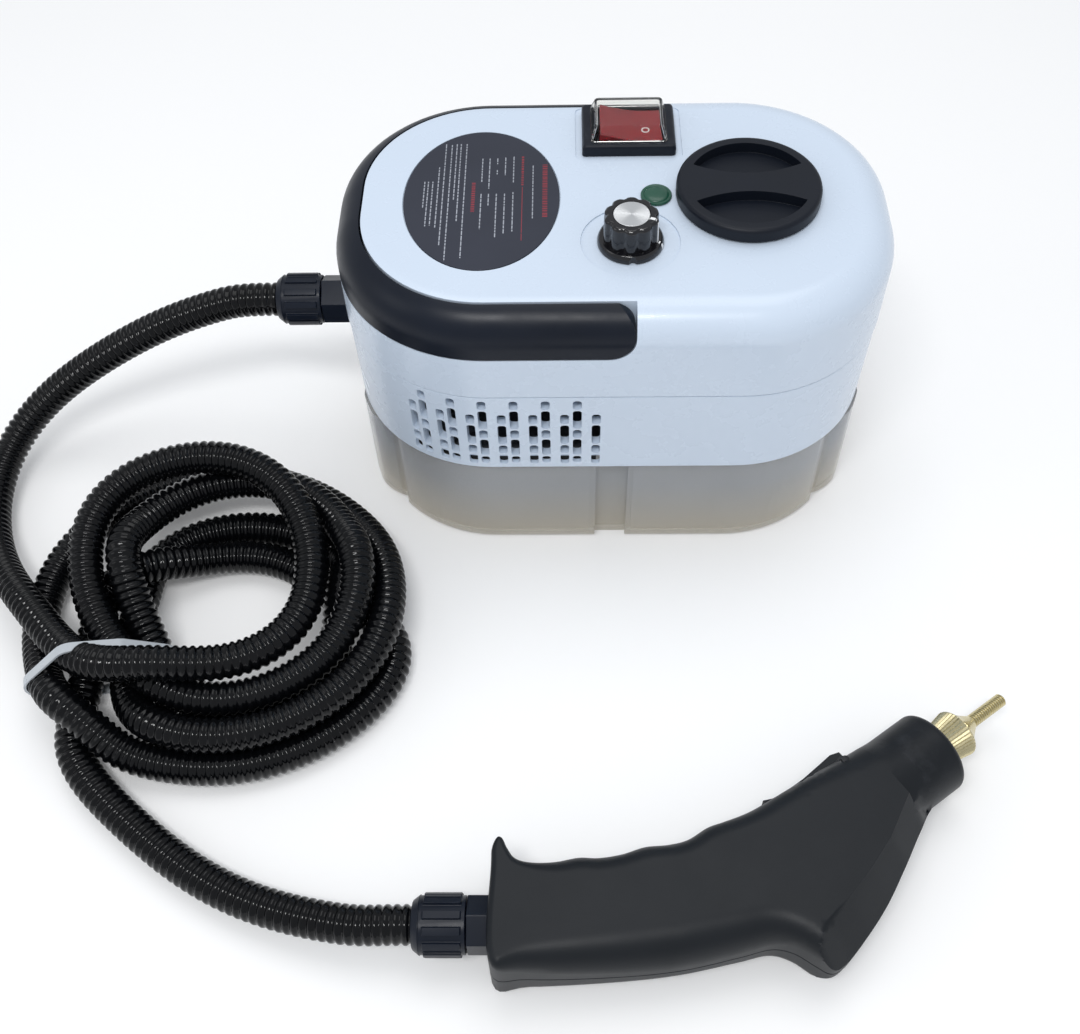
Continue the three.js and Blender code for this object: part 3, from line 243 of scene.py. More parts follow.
def merged(name, parts):
    """Separate solids that don't touch, as one object."""
    work = bmesh.new()
    for part in parts:
        work.from_mesh(part.data)
        bpy.data.objects.remove(part)
    mesh = bpy.data.meshes.new(name)
    work.to_mesh(mesh)
    work.free()
    obj = bpy.data.objects.new(name, mesh)
    scene.collection.objects.link(obj)
    return obj


def shade(obj, angle=38, weighted=True):
    mesh = obj.data
    mesh.polygons.foreach_set("use_smooth", [True] * len(mesh.polygons))
    mesh.set_sharp_from_angle(angle=math.radians(angle))
    if weighted:
        modifier = obj.modifiers.new("weighted", "WEIGHTED_NORMAL")
        modifier.keep_sharp = True
    return obj


def soften(obj, width, segments=2, angle=32):
    modifier = obj.modifiers.new("soften", "BEVEL")
    modifier.width = width
    modifier.segments = segments
    modifier.limit_method = "ANGLE"
    modifier.angle_limit = math.radians(angle)
    modifier.use_clamp_overlap = True
    modifier.harden_normals = False
    bake(obj)
    return shade(obj)


def place(obj, body, material, replaces=()):
    """Gives a finished piece its material, the body it rides on and the nodes it stands for."""
    obj.data.materials.clear()
    obj.data.materials.append(material)
    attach(obj, body)
    if replaces:
        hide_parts(*replaces)
    return obj


# ---------- materials ----------
class Nodes:
    """A small wrapper that adds shader nodes and links them."""

    def __init__(self, name):
        self.material = bpy.data.materials.new(name)
        self.material.use_nodes = True
        self.tree = self.material.node_tree
        self.shader = self.tree.nodes["Principled BSDF"]
        self.place = self.tree.nodes.new("ShaderNodeTexCoord").outputs["Object"]

    def preset(self, color, **values):
        """The shader's plain values, which stay where nothing is linked."""
        self.shader.inputs["Base Color"].default_value = (*color, 1)
        for name, value in values.items():
            self.shader.inputs[name.replace("_", " ")].default_value = value

    def add(self, kind, **values):
        node = self.tree.nodes.new(kind)
        for key, value in values.items():
            setattr(node, key, value)
        return node

    def link(self, source, target):
        self.tree.links.new(source, target)

    def drive(self, name, source):
        self.link(source, self.shader.inputs[name])

    def noise(self, scale, detail=3, roughness=0.5):
        node = self.add("ShaderNodeTexNoise")
        node.inputs["Scale"].default_value = scale
        node.inputs["Detail"].default_value = detail
        node.inputs["Roughness"].default_value = roughness
        self.link(self.place, node.inputs["Vector"])
        return node.outputs["Fac"]

    def spread(self, value, low, high, from_low=0.3, from_high=0.7):
        node = self.add("ShaderNodeMapRange")
        node.inputs["From Min"].default_value = from_low
        node.inputs["From Max"].default_value = from_high
        node.inputs["To Min"].default_value = low
        node.inputs["To Max"].default_value = high
        self.link(value, node.inputs["Value"])
        return node.outputs["Result"]

    def mix(self, factor, first, second):
        node = self.add("ShaderNodeMix", data_type="RGBA")
        self.link(factor, node.inputs["Factor"])
        sockets = [socket for socket in node.inputs if socket.type == "RGBA"]
        for socket, value in zip(sockets, (first, second)):
            if isinstance(value, tuple):
                socket.default_value = (*value, 1)
            else:
                self.link(value, socket)
        return [socket for socket in node.outputs if socket.type == "RGBA"][0]

    def bump(self, height, distance, under=None):
        node = self.add("ShaderNodeBump")
        node.inputs["Distance"].default_value = distance
        node.inputs["Strength"].default_value = 1
        self.link(height, node.inputs["Height"])
        if under is not None:
            self.link(under, node.inputs["Normal"])
        return node.outputs["Normal"]


def tinted(color, factor):
    """A colour made darker or lighter."""
    return tuple(min(1.0, channel * factor) for channel in color)


def moulded(name, color, roughness, variation=0.05, grain=2600, grain_depth=0.012, waviness=0.02,
            wear=0.0, wear_color=None, coat=0.0, transmission=0.0, ior=1.5, specular=0.5, low_color=None,
            painted_shade_color=None, uneven=1.0):
    """Moulded plastic or rubber: faint mottling, uneven gloss, fine grain, slow waviness and rubbed edges,
    and painted shade in a dark colour on faces marked inside.
    """
    nodes = Nodes(name)
    nodes.preset(color, Roughness=roughness, IOR=ior, Coat_Weight=coat, Transmission_Weight=transmission,
                 Specular_IOR_Level=specular)
    mottling = nodes.spread(nodes.noise(28, 4), 0, 1)
    paint = nodes.mix(mottling, tinted(color, 1 - variation), tinted(color, 1 + variation))
    if wear > 0:
        geometry = nodes.add("ShaderNodeNewGeometry")
        edge = nodes.spread(geometry.outputs["Pointiness"], 0, 1, 0.53, 0.62)
        patches = nodes.spread(nodes.noise(160, 5, 0.65), 0, wear, 0.45, 0.7)
        amount = nodes.add("ShaderNodeMath", operation="MULTIPLY")
        nodes.link(edge, amount.inputs[0])
        nodes.link(patches, amount.inputs[1])
        paint = nodes.mix(amount.outputs[0], paint, wear_color or tinted(color, 2.2))
    if low_color is not None:
        split = nodes.add("ShaderNodeSeparateXYZ")
        nodes.link(nodes.place, split.inputs[0])
        paint = nodes.mix(nodes.spread(split.outputs["Z"], 0, 1, 0.004, 0.036), low_color, paint)
    # Painted shade: faces marked inside the case get a dark colour that stands in for the shade there, not
    # the moulding's own colour.
    if painted_shade_color is not None:
        painted_shade = nodes.add("ShaderNodeAttribute", attribute_name="inside")
        paint = nodes.mix(painted_shade.outputs["Fac"], paint, painted_shade_color)
    nodes.drive("Base Color", paint)
    smoothest = max(0.02, roughness - 0.05 * uneven)
    nodes.drive("Roughness", nodes.spread(nodes.noise(60, 5, 0.6), smoothest, roughness + 0.07 * uneven))
    slow = nodes.bump(nodes.noise(45, 2), waviness * MM)
    nodes.drive("Normal", nodes.bump(nodes.noise(grain, 2), grain_depth * MM, under=slow))
    return nodes.material


def metal(name, color, roughness, variation=0.08):
    """Machined or cast metal: uneven tarnish and fine scratches."""
    nodes = Nodes(name)
    nodes.preset(color, Metallic=1.0, Roughness=roughness)
    tarnish = nodes.spread(nodes.noise(90, 5, 0.6), 0, 1)
    nodes.drive("Base Color", nodes.mix(tarnish, tinted(color, 1 - variation), tinted(color, 1 + variation)))
    scratches = nodes.noise(1500, 3, 0.6)
    nodes.drive("Roughness", nodes.spread(scratches, roughness - 0.08, roughness + 0.12))
    nodes.drive("Normal", nodes.bump(scratches, 0.01 * MM))
    return nodes.material


def spun(name, color):
    """Disc turned on a lathe: anisotropic shine about its axis, fine rings."""
    nodes = Nodes(name)
    nodes.preset(color, Metallic=1.0, Roughness=0.3, Anisotropic=0.85)
    tangent = nodes.add("ShaderNodeTangent", direction_type="RADIAL", axis="Z")
    nodes.drive("Tangent", tangent.outputs["Tangent"])
    shift = nodes.add("ShaderNodeVectorMath", operation="SUBTRACT")
    shift.inputs[1].default_value = KNOB
    nodes.link(nodes.place, shift.inputs[0])
    rings = nodes.add("ShaderNodeTexWave", wave_type="RINGS", rings_direction="Z")
    rings.inputs["Scale"].default_value = 700
    rings.inputs["Distortion"].default_value = 0.4
    nodes.link(shift.outputs[0], rings.inputs["Vector"])
    grooves = rings.outputs["Fac"]
    nodes.drive("Base Color", nodes.mix(grooves, tinted(color, 0.9), color))
    nodes.drive("Roughness", nodes.spread(grooves, 0.26, 0.38, 0, 1))
    nodes.drive("Normal", nodes.bump(grooves, 0.004 * MM))
    return nodes.material


# The case's dark colour for faces inside it is painted shade, standing in for the shade inside the case.
WHITE = moulded("case_white", (0.61, 0.7, 0.82), 0.27, variation=0.006, grain=420, grain_depth=0.0002,
                waviness=0.004, coat=0.1, painted_shade_color=(0.07, 0.075, 0.085), uneven=0.25)
BLACK = moulded("trim_black", (0.005, 0.0075, 0.014), 0.42, variation=0.16, grain=2200, grain_depth=0.02,
                wear=0.4, wear_color=(0.03, 0.034, 0.042), specular=0.26)
HANDLE_BLACK = moulded("handle_black", (0.004, 0.007, 0.015), 0.34, variation=0.14, wear=0.3,
                       wear_color=(0.02, 0.026, 0.036), specular=0.26)
GUN_BLACK = moulded("gun_black", (0.0055, 0.0075, 0.0105), 0.44, variation=0.08, grain=1700,
                    grain_depth=0.03, wear=0.5, wear_color=(0.04, 0.043, 0.05), specular=0.28, uneven=0.4)
KNOB_BLACK = moulded("knob_black", (0.004, 0.004, 0.006), 0.16, variation=0.1, grain_depth=0.003, wear=0.3,
                     wear_color=(0.03, 0.03, 0.035), coat=0.2)
HOSE_BLACK = moulded("hose_black", (0.0022, 0.0025, 0.0032), 0.1, variation=0.22, grain=900,
                     grain_depth=0.006, wear=0.2, wear_color=(0.02, 0.02, 0.02), specular=0.24, uneven=0.5)
RUBBER = moulded("seal_black", (0.015, 0.015, 0.016), 0.75, variation=0.15, grain=1500, grain_depth=0.03)
GREY = moulded("inner_grey", (0.09, 0.095, 0.1), 0.5, variation=0.08)
INNER_WHITE = moulded("inner_white", (0.7, 0.72, 0.74), 0.5, variation=0.04)
TANK = moulded("tank_smoke", (0.67, 0.7, 0.745), 0.18, variation=0.04, grain_depth=0.004, waviness=0.05,
               transmission=0.72, ior=1.35, low_color=(0.8, 0.755, 0.66))
CLEAR = moulded("cover_clear", (0.95, 0.95, 0.93), 0.06, variation=0.01, grain_depth=0.001, waviness=0.04,
                transmission=1.0, ior=1.22)
TUBE_CLEAR = moulded("tube_clear", (0.8, 0.79, 0.74), 0.3, variation=0.04, transmission=0.5)
RED = moulded("rocker_red", (0.28, 0.008, 0.014), 0.16, variation=0.08, grain_depth=0.003, coat=0.3)
GREEN = moulded("lens_green", (0.01, 0.075, 0.045), 0.32, variation=0.12, grain_depth=0.003, coat=0.15)
SLATE = moulded("label_dark", (0.03, 0.034, 0.05), 0.45, variation=0.08, grain_depth=0.004, specular=0.28)
PRINT_PALE = moulded("print_pale", (0.34, 0.36, 0.41), 0.5, variation=0.15, grain_depth=0.002)
PRINT_RED = moulded("print_red", (0.24, 0.025, 0.04), 0.5, variation=0.15, grain_depth=0.002)
PAINT_WHITE = moulded("pointer_white", (0.85, 0.86, 0.87), 0.4, variation=0.04, grain_depth=0.002)
NYLON = moulded("tie_clear", (0.56, 0.6, 0.64), 0.3, variation=0.05, grain=1200, transmission=0.15)
BOARD = moulded("board_green", (0.02, 0.1, 0.04), 0.4, variation=0.2)
COPPER = moulded("copper_wound", (0.25, 0.08, 0.03), 0.35, variation=0.25, grain=700, grain_depth=0.06)
BRASS = metal("brass_turned", (0.62, 0.55, 0.34), 0.27)
STEEL_DARK = metal("steel_blacked", (0.04, 0.041, 0.044), 0.42)
STEEL = metal("steel_plain", (0.55, 0.56, 0.57), 0.3)
ALUMINIUM = metal("aluminium_cast", (0.62, 0.63, 0.64), 0.38, variation=0.05)
SPUN = spun("aluminium_spun", (0.86, 0.87, 0.88))


# ---------- hose ----------
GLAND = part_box("machine_gland_nut")
GUN_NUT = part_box("gun_gland_nut")
HOSE_START = Vector((GLAND[0].x - 0.3 * MM, middle("machine_gland_body").y, middle("machine_gland_body").z))
HOSE_END = Vector((GUN_NUT[0].x - 0.3 * MM, middle("gun_gland_body").y, middle("gun_gland_body").z))
FLOOR_CLEAR = HOSE_RADIUS + 0.3 * MM
BUNDLE = Vector((-153.5, -123.7, 0)) * MM
TIE_ANGLE = math.radians(195)
TIE_OUT = Vector((math.cos(TIE_ANGLE), math.sin(TIE_ANGLE), 0))
TIE_ACROSS = Vector((-math.sin(TIE_ANGLE), math.cos(TIE_ANGLE), 0))
TIE_MIDDLE = (54, 10)
TIE_LIFT = 1.4 * MM
TIE_REACH = 32 * MM
PUSH_ONLY = 12
STRAND_GAP = 0.35 * MM

# Each turn: its near half and far half as (centre x, centre y, radius, height), then the place it takes
# in the tied bundle at its end as (distance from the bundle's centre, height), all in millimetres.
TURNS = (
    {"near": (-165, -98, 52, 27), "far": (-170, -94, 51, 37), "slot": (45.5, 22.2)},
    {"near": (-150, -101, 55, 22), "far": (-154, -96, 51, 24), "slot": (32, 20.8)},
    {"near": (-155, -110, 51, 8), "far": (-150, -115, 55, 8), "slot": (39, 8.7)},
    {"near": (-152, -102, 67, 20), "far": (-165, -112, 76, 12), "slot": (70, 8.7)},
    {"near": (-156, -96, 81, 8), "far": (-158, -133, 60, 8), "slot": (53.5, 8.7)},
)
OUTER_TURN = 3
NEAR_ANGLES = (240, 265, 290, 315, 340)
FAR_ANGLES = (38, 62, 86, 110, 134, 158)

# The lead from the case to the coil and the tail from the coil to the gun, in millimetres.
LEAD = (
    (-157, 5, 76.8), (-180, 6, 69.5), (-202, 3.5, 59), (-223, 0, 47), (-242, -2.5, 35), (-258, -8, 23.5),
    (-269, -20, 14), (-273, -39, 8.6), (-270, -58, 8), (-261, -78, 10), (-247, -97, 16), (-228, -116, 25),
)
LEAD_SLOT = (60, 22.5)
TAIL = (
    (-216, -162, 7.4), (-200, -179.5, 7.4), (-182.5, -195.5, 7.4), (-166, -209, 7.4), (-148, -221, 7.6),
    (-126, -230, 9.4), (-102, -236.2, 13.4),
)
# The outer turn also passes these points just before and after the bundle.
BEFORE_BUNDLE = (-241, -108, 8)
AFTER_BUNDLE = (-213, -158, 22.5)


def bundle_space(distance, side, height):
    """A point from its distance out from the bundle's centre, its place along the strands and its height."""
    return BUNDLE + TIE_OUT * distance + TIE_ACROSS * side + Vector((0, 0, height))


def bundle_point(distance, height):
    return bundle_space(distance * MM, 0, height * MM)


def hose_controls():
    points = [HOSE_START, HOSE_START + Vector((-6, 0, 0)) * MM]
    points += [Vector(point) * MM for point in LEAD]
    points.append(bundle_point(*LEAD_SLOT))
    for number, turn in enumerate(TURNS):
        for half, angles in (("near", NEAR_ANGLES), ("far", FAR_ANGLES)):
            x, y, radius, height = turn[half]
            for degrees in angles:
                angle = math.radians(degrees)
                spot = (x + radius * math.cos(angle), y + radius * math.sin(angle), height)
                points.append(Vector(spot) * MM)
        if number == OUTER_TURN:
            points.append(Vector(BEFORE_BUNDLE) * MM)
        points.append(bundle_point(*turn["slot"]))
        if number == OUTER_TURN:
            points.append(Vector(AFTER_BUNDLE) * MM)
    points += [Vector(point) * MM for point in TAIL]
    points += [HOSE_END + Vector((-7, 0, 0)) * MM, HOSE_END]
    return np.array([tuple(p) for p in points])


def smooth_line(controls, step):
    """Centripetal Catmull-Rom curve through the controls, resampled at an even step."""
    padded = np.vstack([2 * controls[0] - controls[1], controls, 2 * controls[-1] - controls[-2]])
    dense = []
    for index in range(1, len(padded) - 2):
        p0, p1, p2, p3 = padded[index - 1:index + 3]
        t1 = np.linalg.norm(p1 - p0) ** 0.5
        t2 = t1 + np.linalg.norm(p2 - p1) ** 0.5
        t3 = t2 + np.linalg.norm(p3 - p2) ** 0.5
        for t in np.linspace(t1, t2, 16, endpoint=False):
            a1 = (t1 - t) / t1 * p0 + t / t1 * p1
            a2 = (t2 - t) / (t2 - t1) * p1 + (t - t1) / (t2 - t1) * p2
            a3 = (t3 - t) / (t3 - t2) * p2 + (t - t2) / (t3 - t2) * p3
            b1 = (t2 - t) / t2 * a1 + t / t2 * a2
            b2 = (t3 - t) / (t3 - t1) * a2 + (t - t1) / (t3 - t1) * a3
            dense.append((t2 - t) / (t2 - t1) * b1 + (t - t1) / (t2 - t1) * b2)
    dense.append(controls[-1])
    return resample(np.array(dense), step)


def resample(line, step):
    lengths = np.r_[0, np.cumsum(np.linalg.norm(np.diff(line, axis=0), axis=1))]
    count = max(2, int(round(lengths[-1] / step)) + 1)
    places = np.linspace(0, lengths[-1], count)
    return np.column_stack([np.interp(places, lengths, line[:, axis]) for axis in range(3)])


def settle(line, step, rounds):
    """Pushes strands that share space apart, keeps them on the floor and keeps the line smooth.

    The line's first and last points are held, and the last rounds only push.
    """
    line = line.copy()
    count = len(line)
    apart = 2 * HOSE_RADIUS + STRAND_GAP
    skip = int(math.ceil(1.6 * apart / step))
    index = np.arange(count)
    neighbours = np.abs(index[:, None] - index[None, :]) < skip
    held, furthest, even, unbend = 6, 1.2 * MM, 0.35, 0.3
    tie_centre = np.array(bundle_point(*TIE_MIDDLE))
    for round_number in range(rounds):
        gap = line[:, None, :] - line[None, :, :]
        distance = np.linalg.norm(gap, axis=2) + 1e-9
        overlap = np.clip(apart - distance, 0, None)
        overlap[neighbours] = 0
        push = (gap / distance[:, :, None] * overlap[:, :, None] * 0.5).sum(axis=1)
        crowd = np.maximum(1, (overlap > 0).sum(axis=1) * 0.5)
        move = push / crowd[:, None]
        length = np.linalg.norm(move, axis=1)
        move *= (np.minimum(1, furthest / np.maximum(length, 1e-9)))[:, None]
        line[held:-held] += move[held:-held]
        if round_number < rounds - PUSH_ONLY:
            smooth = line.copy()
            smooth[1:-1] = (line[:-2] + line[2:]) / 2
            line[held:-held] += even * (smooth - line)[held:-held]
            lift = even * 0.25 * (line[:-4] - 4 * line[1:-3] + 6 * line[2:-2] - 4 * line[3:-1] + line[4:])
            line[held:-held] -= unbend * lift[held - 2:len(lift) - (held - 2)]
        near_tie = np.exp(-((np.linalg.norm(line[:, :2] - tie_centre[:2], axis=1) / TIE_REACH) ** 4))
        floor_level = FLOOR_CLEAR + TIE_LIFT * near_tie
        line[:, 2] = np.maximum(line[:, 2], floor_level)
    return line


def hose_line():
    step = 4 * MM
    line = settle(smooth_line(hose_controls(), step), step, 90)
    for _ in range(3):
        line[3:-3] = (line[2:-4] + 2 * line[3:-3] + line[4:-2]) / 4
    return line


def frames_along(line):
    """Two cross directions at each point of a line, without twist."""
    tangents = np.gradient(line, axis=0)
    tangents /= np.linalg.norm(tangents, axis=1)[:, None]
    side = np.cross(tangents[0], (0, 0, 1.0))
    side /= np.linalg.norm(side)
    sides = []
    for tangent in tangents:
        side = side - tangent * side.dot(tangent)
        side /= np.linalg.norm(side)
        sides.append(side)
    sides = np.array(sides)
    return sides, np.cross(tangents, sides)


# One rib of the hose: place along the pitch, and how far the skin lies below the crest.
RIB = ((0.0, 0.3), (0.06, 0.05), (0.38, 0.0), (0.7, 0.05), (0.76, 0.28), (0.8, 0.8), (0.96, 0.8))


def build_hose():
    coarse = hose_line()
    fine = smooth_line(coarse, 0.5 * MM)
    lengths = np.r_[0, np.cumsum(np.linalg.norm(np.diff(fine, axis=0), axis=1))]
    total = lengths[-1]
    ribs = int(total / RIB_PITCH)
    pitch = total / ribs
    places, radii = [], []
    for rib in range(ribs):
        for part, drop in RIB:
            places.append((rib + part) * pitch)
            radii.append(HOSE_RADIUS - drop * MM)
    places.append(total)
    radii.append(radii[0])
    centre = np.column_stack([np.interp(places, lengths, fine[:, axis]) for axis in range(3)])
    wide = 9
    window = np.ones(wide) / wide
    padded = np.pad(centre, ((wide // 2, wide // 2), (0, 0)), mode="edge")
    blurred = np.column_stack([np.convolve(padded[:, axis], window, "valid") for axis in range(3)])
    blurred[:3], blurred[-3:] = centre[:3], centre[-3:]
    sides, ups = frames_along(blurred)
    around = 20
    angles = np.linspace(0, 2 * math.pi, around, endpoint=False)
    rings = []
    for point, side, up, radius in zip(blurred, sides, ups, radii):
        ring = point + radius * (np.cos(angles)[:, None] * side + np.sin(angles)[:, None] * up)
        rings.append([tuple(v) for v in ring])
    hose = loft("steam_hose", rings)
    shade(hose, 80, weighted=False)
    place(hose, "base", HOSE_BLACK, ("hose_lead", "hose_coil", "hose_tail"))
    return hose, coarse, total


hose, hose_centre, hose_length = build_hose()


def tie_outline(line, grow):
    """Convex outline round the bundle's strands where the tie crosses them, as (distance out, height)."""
    nearest, furthest = 20 * MM, 110 * MM
    away = line - np.array(BUNDLE)
    along = away @ np.array(TIE_ACROSS)
    reach = away @ np.array(TIE_OUT)
    crossings = []
    for index in range(len(line) - 1):
        if along[index] * along[index + 1] <= 0 and nearest < reach[index] < furthest:
            crossings.append((reach[index], line[index][2]))
    points = []
    for distance, height in crossings:
        for step in range(24):
            angle = 2 * math.pi * step / 24
            radius = HOSE_RADIUS + grow
            points.append((distance + radius * math.cos(angle), height + radius * math.sin(angle)))
    points.sort()
    hull = []
    for chain in (points, points[::-1]):
        part = []
        for point in chain:
            while len(part) > 1:
                (ax, ay), (bx, by) = part[-2], part[-1]
                if (bx - ax) * (point[1] - ay) - (by - ay) * (point[0] - ax) > 0:
                    break
                part.pop()
            part.append(point)
        hull += part[:-1]
    return hull


def build_tie():
    half_width = 2 * MM
    inner = tie_outline(hose_centre, 0.15 * MM)
    middle_u = sum(p[0] for p in inner) / len(inner)
    middle_z = sum(p[1] for p in inner) / len(inner)

    def grown(amount):
        made = []
        for u, z in inner:
            away = Vector((u - middle_u, z - middle_z)).normalized()
            made.append((u + away.x * amount, max(z + away.y * amount, 0.12 * MM)))
        return made

    thickness = 1.15 * MM
    outer = grown(thickness)
    section = ((inner, -half_width), (outer, -half_width), (outer, half_width), (inner, half_width))
    rings = [[tuple(bundle_space(u, side, z)) for u, z in points] for points, side in section]
    rings.append(rings[0])
    strap = tidy(loft("strap", rings, cap_ends=False), 0.002 * MM)
    soften(strap, 0.25 * MM, 2, 40)
    strap.modifiers.clear()
    head = box("head", (-2.4 * MM, -2.9 * MM, -0.4 * MM), (2.4 * MM, 2.9 * MM, 3.2 * MM))
    soften(head, 0.5 * MM, 2)
    head.modifiers.clear()
    inner_side = min(p[0] for p in outer)
    spot = Matrix.Translation(bundle_space(inner_side + 0.4 * MM, 0, 13 * MM))
    head.data.transform(spot @ Matrix.Rotation(TIE_ANGLE, 4, "Z") @ Matrix.Rotation(-math.pi / 2, 4, "Y"))
    tie = merged("tie_strap", [strap, head])
    shade(tie, 40)
    return place(tie, "base", NYLON, ("cable_tie",))


cable_tie = build_tie()


# ---------- case ----------
PIVOT_X = -3 * MM
HANDLE_RADIUS = 9.4 * MM
PIVOT_Z = DECK - HANDLE_RADIUS
HANDLE_WIDTH = 10 * MM
HANDLE_GAP = 0.8 * MM
RECESS_RADIUS = HANDLE_RADIUS + 0.5 * MM
ROOM_STEP = 110 * MM
BEYOND = 20 * MM


def handle_slab(name, radius):
    """Side outline of the handle's arms, as a slab right across the case: long bar, half-round end."""
    far = HALF_X + BEYOND
    reach = HALF_Y + BEYOND
    steps = 24
    outline = [(-far, PIVOT_Z - radius)]
    for step in range(steps + 1):
        angle = -math.pi / 2 + math.pi * step / steps
        outline.append((PIVOT_X + radius * math.cos(angle), PIVOT_Z + radius * math.sin(angle)))
    outline.append((-far, PIVOT_Z + radius))
    return tidy(loft(name, [[(x, side, z) for x, z in outline] for side in (reach, -reach)]))


def recess_corner():
    """Squares the recess above the pivot, which frees the end of the arm when the handle stands up."""
    reach = HALF_Y + BEYOND
    return box("corner", (PIVOT_X, -reach, PIVOT_Z), (PIVOT_X + RECESS_RADIUS, reach, DECK + BEYOND / 2))


def core(inset):
    """The middle of the case, which the handle passes round."""
    return prism("core", case_outline(inset), SEAM_BOTTOM, DECK + BEYOND)


def rolled_levels(steps):
    """The case's rounded top edge."""
    return [(case_outline(EDGE * (1 - across)), DECK - EDGE * (1 - up)) for up, across in quarter(steps)]


# The rounded edge at the seam in millimetres: inset and distance from the seam.
SEAM_EDGE = ((0.45, 0), (0.12, 0.3), (0, 0.8))


def build_upper_shell():
    levels = [(case_outline(inset), SEAM_TOP + height) for inset, height in millimetres(SEAM_EDGE)]
    shell = stack("upper_case", levels + rolled_levels(14))
    recess = handle_slab("recess", RECESS_RADIUS)
    combine(recess, [recess_corner()], "UNION")
    combine(recess, [core(HANDLE_WIDTH + HANDLE_GAP)])
    switch_low, switch_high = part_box("switch_frame")
    half = (switch_high - switch_low) / 2
    border = rounded_outline(half.x + 2.6 * MM, half.y + 2.6 * MM, 3 * MM, 6, SWITCH)
    opening = rounded_outline(15.6 * MM, 11.6 * MM, 1 * MM, 3, SWITCH)
    label_low, label_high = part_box("label_disc")
    label_half = (label_high - label_low) / 2
    pocket = oval(label_half.x + 0.35 * MM, label_half.y + 0.35 * MM, 96, LABEL)
    above, below = DECK + 5 * MM, DECK - 2 * WALL
    cutters = [
        recess,
        prism("lower_room", case_outline(WALL), SEAM_TOP - 5 * MM, ROOM_STEP + MM),
        prism("upper_room", case_outline(EDGE + MM), ROOM_STEP, DECK - WALL),
        stack("dish", [(circle(18.3 * MM, 96, KNOB), DECK - 0.6 * MM), (circle(18.9 * MM, 96, KNOB), above)]),
        drum("shaft", 4 * MM, 32, KNOB, below, above),
        drum("neck", 19.6 * MM, 64, CAP, below, above),
        drum("lamp", 5.2 * MM, 32, LAMP, below, above),
        prism("border", border, DECK - 0.5 * MM, above),
        prism("switch", opening, below, above),
        prism("label", pocket, DECK - 0.6 * MM, above),
    ]
    combine(shell, cutters)
    tidy(shell, 0.005 * MM)
    soften(shell, 0.35 * MM, 3, 28)
    return place(shell, "base", WHITE, ("upper_shell",))


def mark_inside(shell, inset):
    """Notes which faces look into the case, where the material paints shade: a dark colour that stands in for
    the shade inside the case.
    """
    marks = shell.data.attributes.new("inside", "FLOAT", "FACE")
    flat_x, flat_y = HALF_X - CORNER, HALF_Y - CORNER
    values = []
    for face in shell.data.polygons:
        x, y, z = face.center
        reach = math.hypot(max(0, abs(x) - flat_x), max(0, abs(y) - flat_y))
        values.append(1.0 if reach < CORNER - inset and LIP < z < DECK - 1.5 * MM else 0.0)
    marks.data.foreach_set("value", values)


def front_place(run):
    """Point and turn on the front outline, a given run to the left of the middle."""
    flat = HALF_X - CORNER
    if run <= flat:
        return -run, -HALF_Y, 0.0
    turn = (run - flat) / CORNER
    return -flat - CORNER * math.sin(turn), -(HALF_Y - CORNER) - CORNER * math.cos(turn), turn


def vent_cutter(run, height, tall, deep):
    """Upright slot with round corners."""
    x, y, turn = front_place(run)
    outline = rounded_outline(1.7 * MM, tall / 2, 1.2 * MM, 4)
    rings = [[(across, depth, up) for across, up in outline] for depth in (-3 * MM, deep)]
    cutter = tidy(loft("vent", rings))
    cutter.data.transform(Matrix.Translation((x, y, height)) @ Matrix.Rotation(-turn, 4, "Z"))
    return cutter


# Columns of slots, short and tall in turn: top of the column, then each slot's height.
OUTER_SLOTS = (84.3, (5.6, 11.4, 5, 5.8))
INNER_SLOTS = (92.2, (4.9, 10.6, 4.9, 9.8, 4.1))
FLOOR_LOW = 56.5 * MM
FLOOR_TOP = 59.1 * MM


def vents():
    """Slots go through the wall, except beside the floor plate."""
    pitch, first, bridge = 12.1 * MM, 6.9 * MM, 0.8 * MM
    columns = 7
    cutters = []
    for column in range(columns):
        for (top, heights), shift in ((OUTER_SLOTS, 0.0), (INNER_SLOTS, 0.6)):
            if shift and column == columns - 1:
                continue
            high = top * MM
            for tall in heights:
                low = high - tall * MM
                deep = 6.5 * MM if low > FLOOR_TOP else 3.2 * MM
                run = first + (column + shift) * pitch
                cutters.append(vent_cutter(run, (high + low) / 2, high - low, deep))
                high = low - bridge
    return merged("vents", cutters)


def build_lower_shell():
    lip_inset, top_inset = 1.2 * MM, 0.4 * MM
    foot = [(0.5, 0), (0.1, 0.35), (-0.02, 1)]
    edge = millimetres(reversed(SEAM_EDGE))
    levels = [(case_outline(lip_inset + inset), LIP + height) for inset, height in millimetres(foot)]
    levels += [(case_outline(top_inset + inset), SEAM_BOTTOM - drop) for inset, drop in edge]
    outside = stack("lower_case", levels)
    gland = middle("machine_gland_body")
    mains = middle("mains_cord_gland")
    gland_ends = [(x, gland.y, gland.z) for x in (-HALF_X - 5 * MM, -HALF_X + 9 * MM)]
    mains_ends = [(mains.x, y, mains.z) for y in (HALF_Y - 9 * MM, HALF_Y + 5 * MM)]
    floor = (FLOOR_LOW - MM, FLOOR_TOP + MM)
    cutters = [
        prism("room", case_outline(lip_inset + 3.4 * MM), FLOOR_TOP, SEAM_BOTTOM + 5 * MM),
        prism("under", case_outline(3 * MM), LIP - 5 * MM, FLOOR_LOW),
        vents(),
        rod("gland_hole", *gland_ends, 6.6 * MM),
        rod("mains_hole", *mains_ends, 6.6 * MM),
        drum("filler_hole", 19.5 * MM, 64, CAP, *floor),
        drum("suction_hole", 4.2 * MM, 24, middle("suction_filter"), *floor),
    ]
    combine(outside, cutters)
    tidy(outside, 0.005 * MM)
    soften(outside, 0.25 * MM, 2, 30)
    # Faces inside the case get painted shade, a dark colour standing in for the shade there.
    mark_inside(outside, lip_inset + 3.2 * MM)
    return place(outside, "base", WHITE, ("lower_shell",))


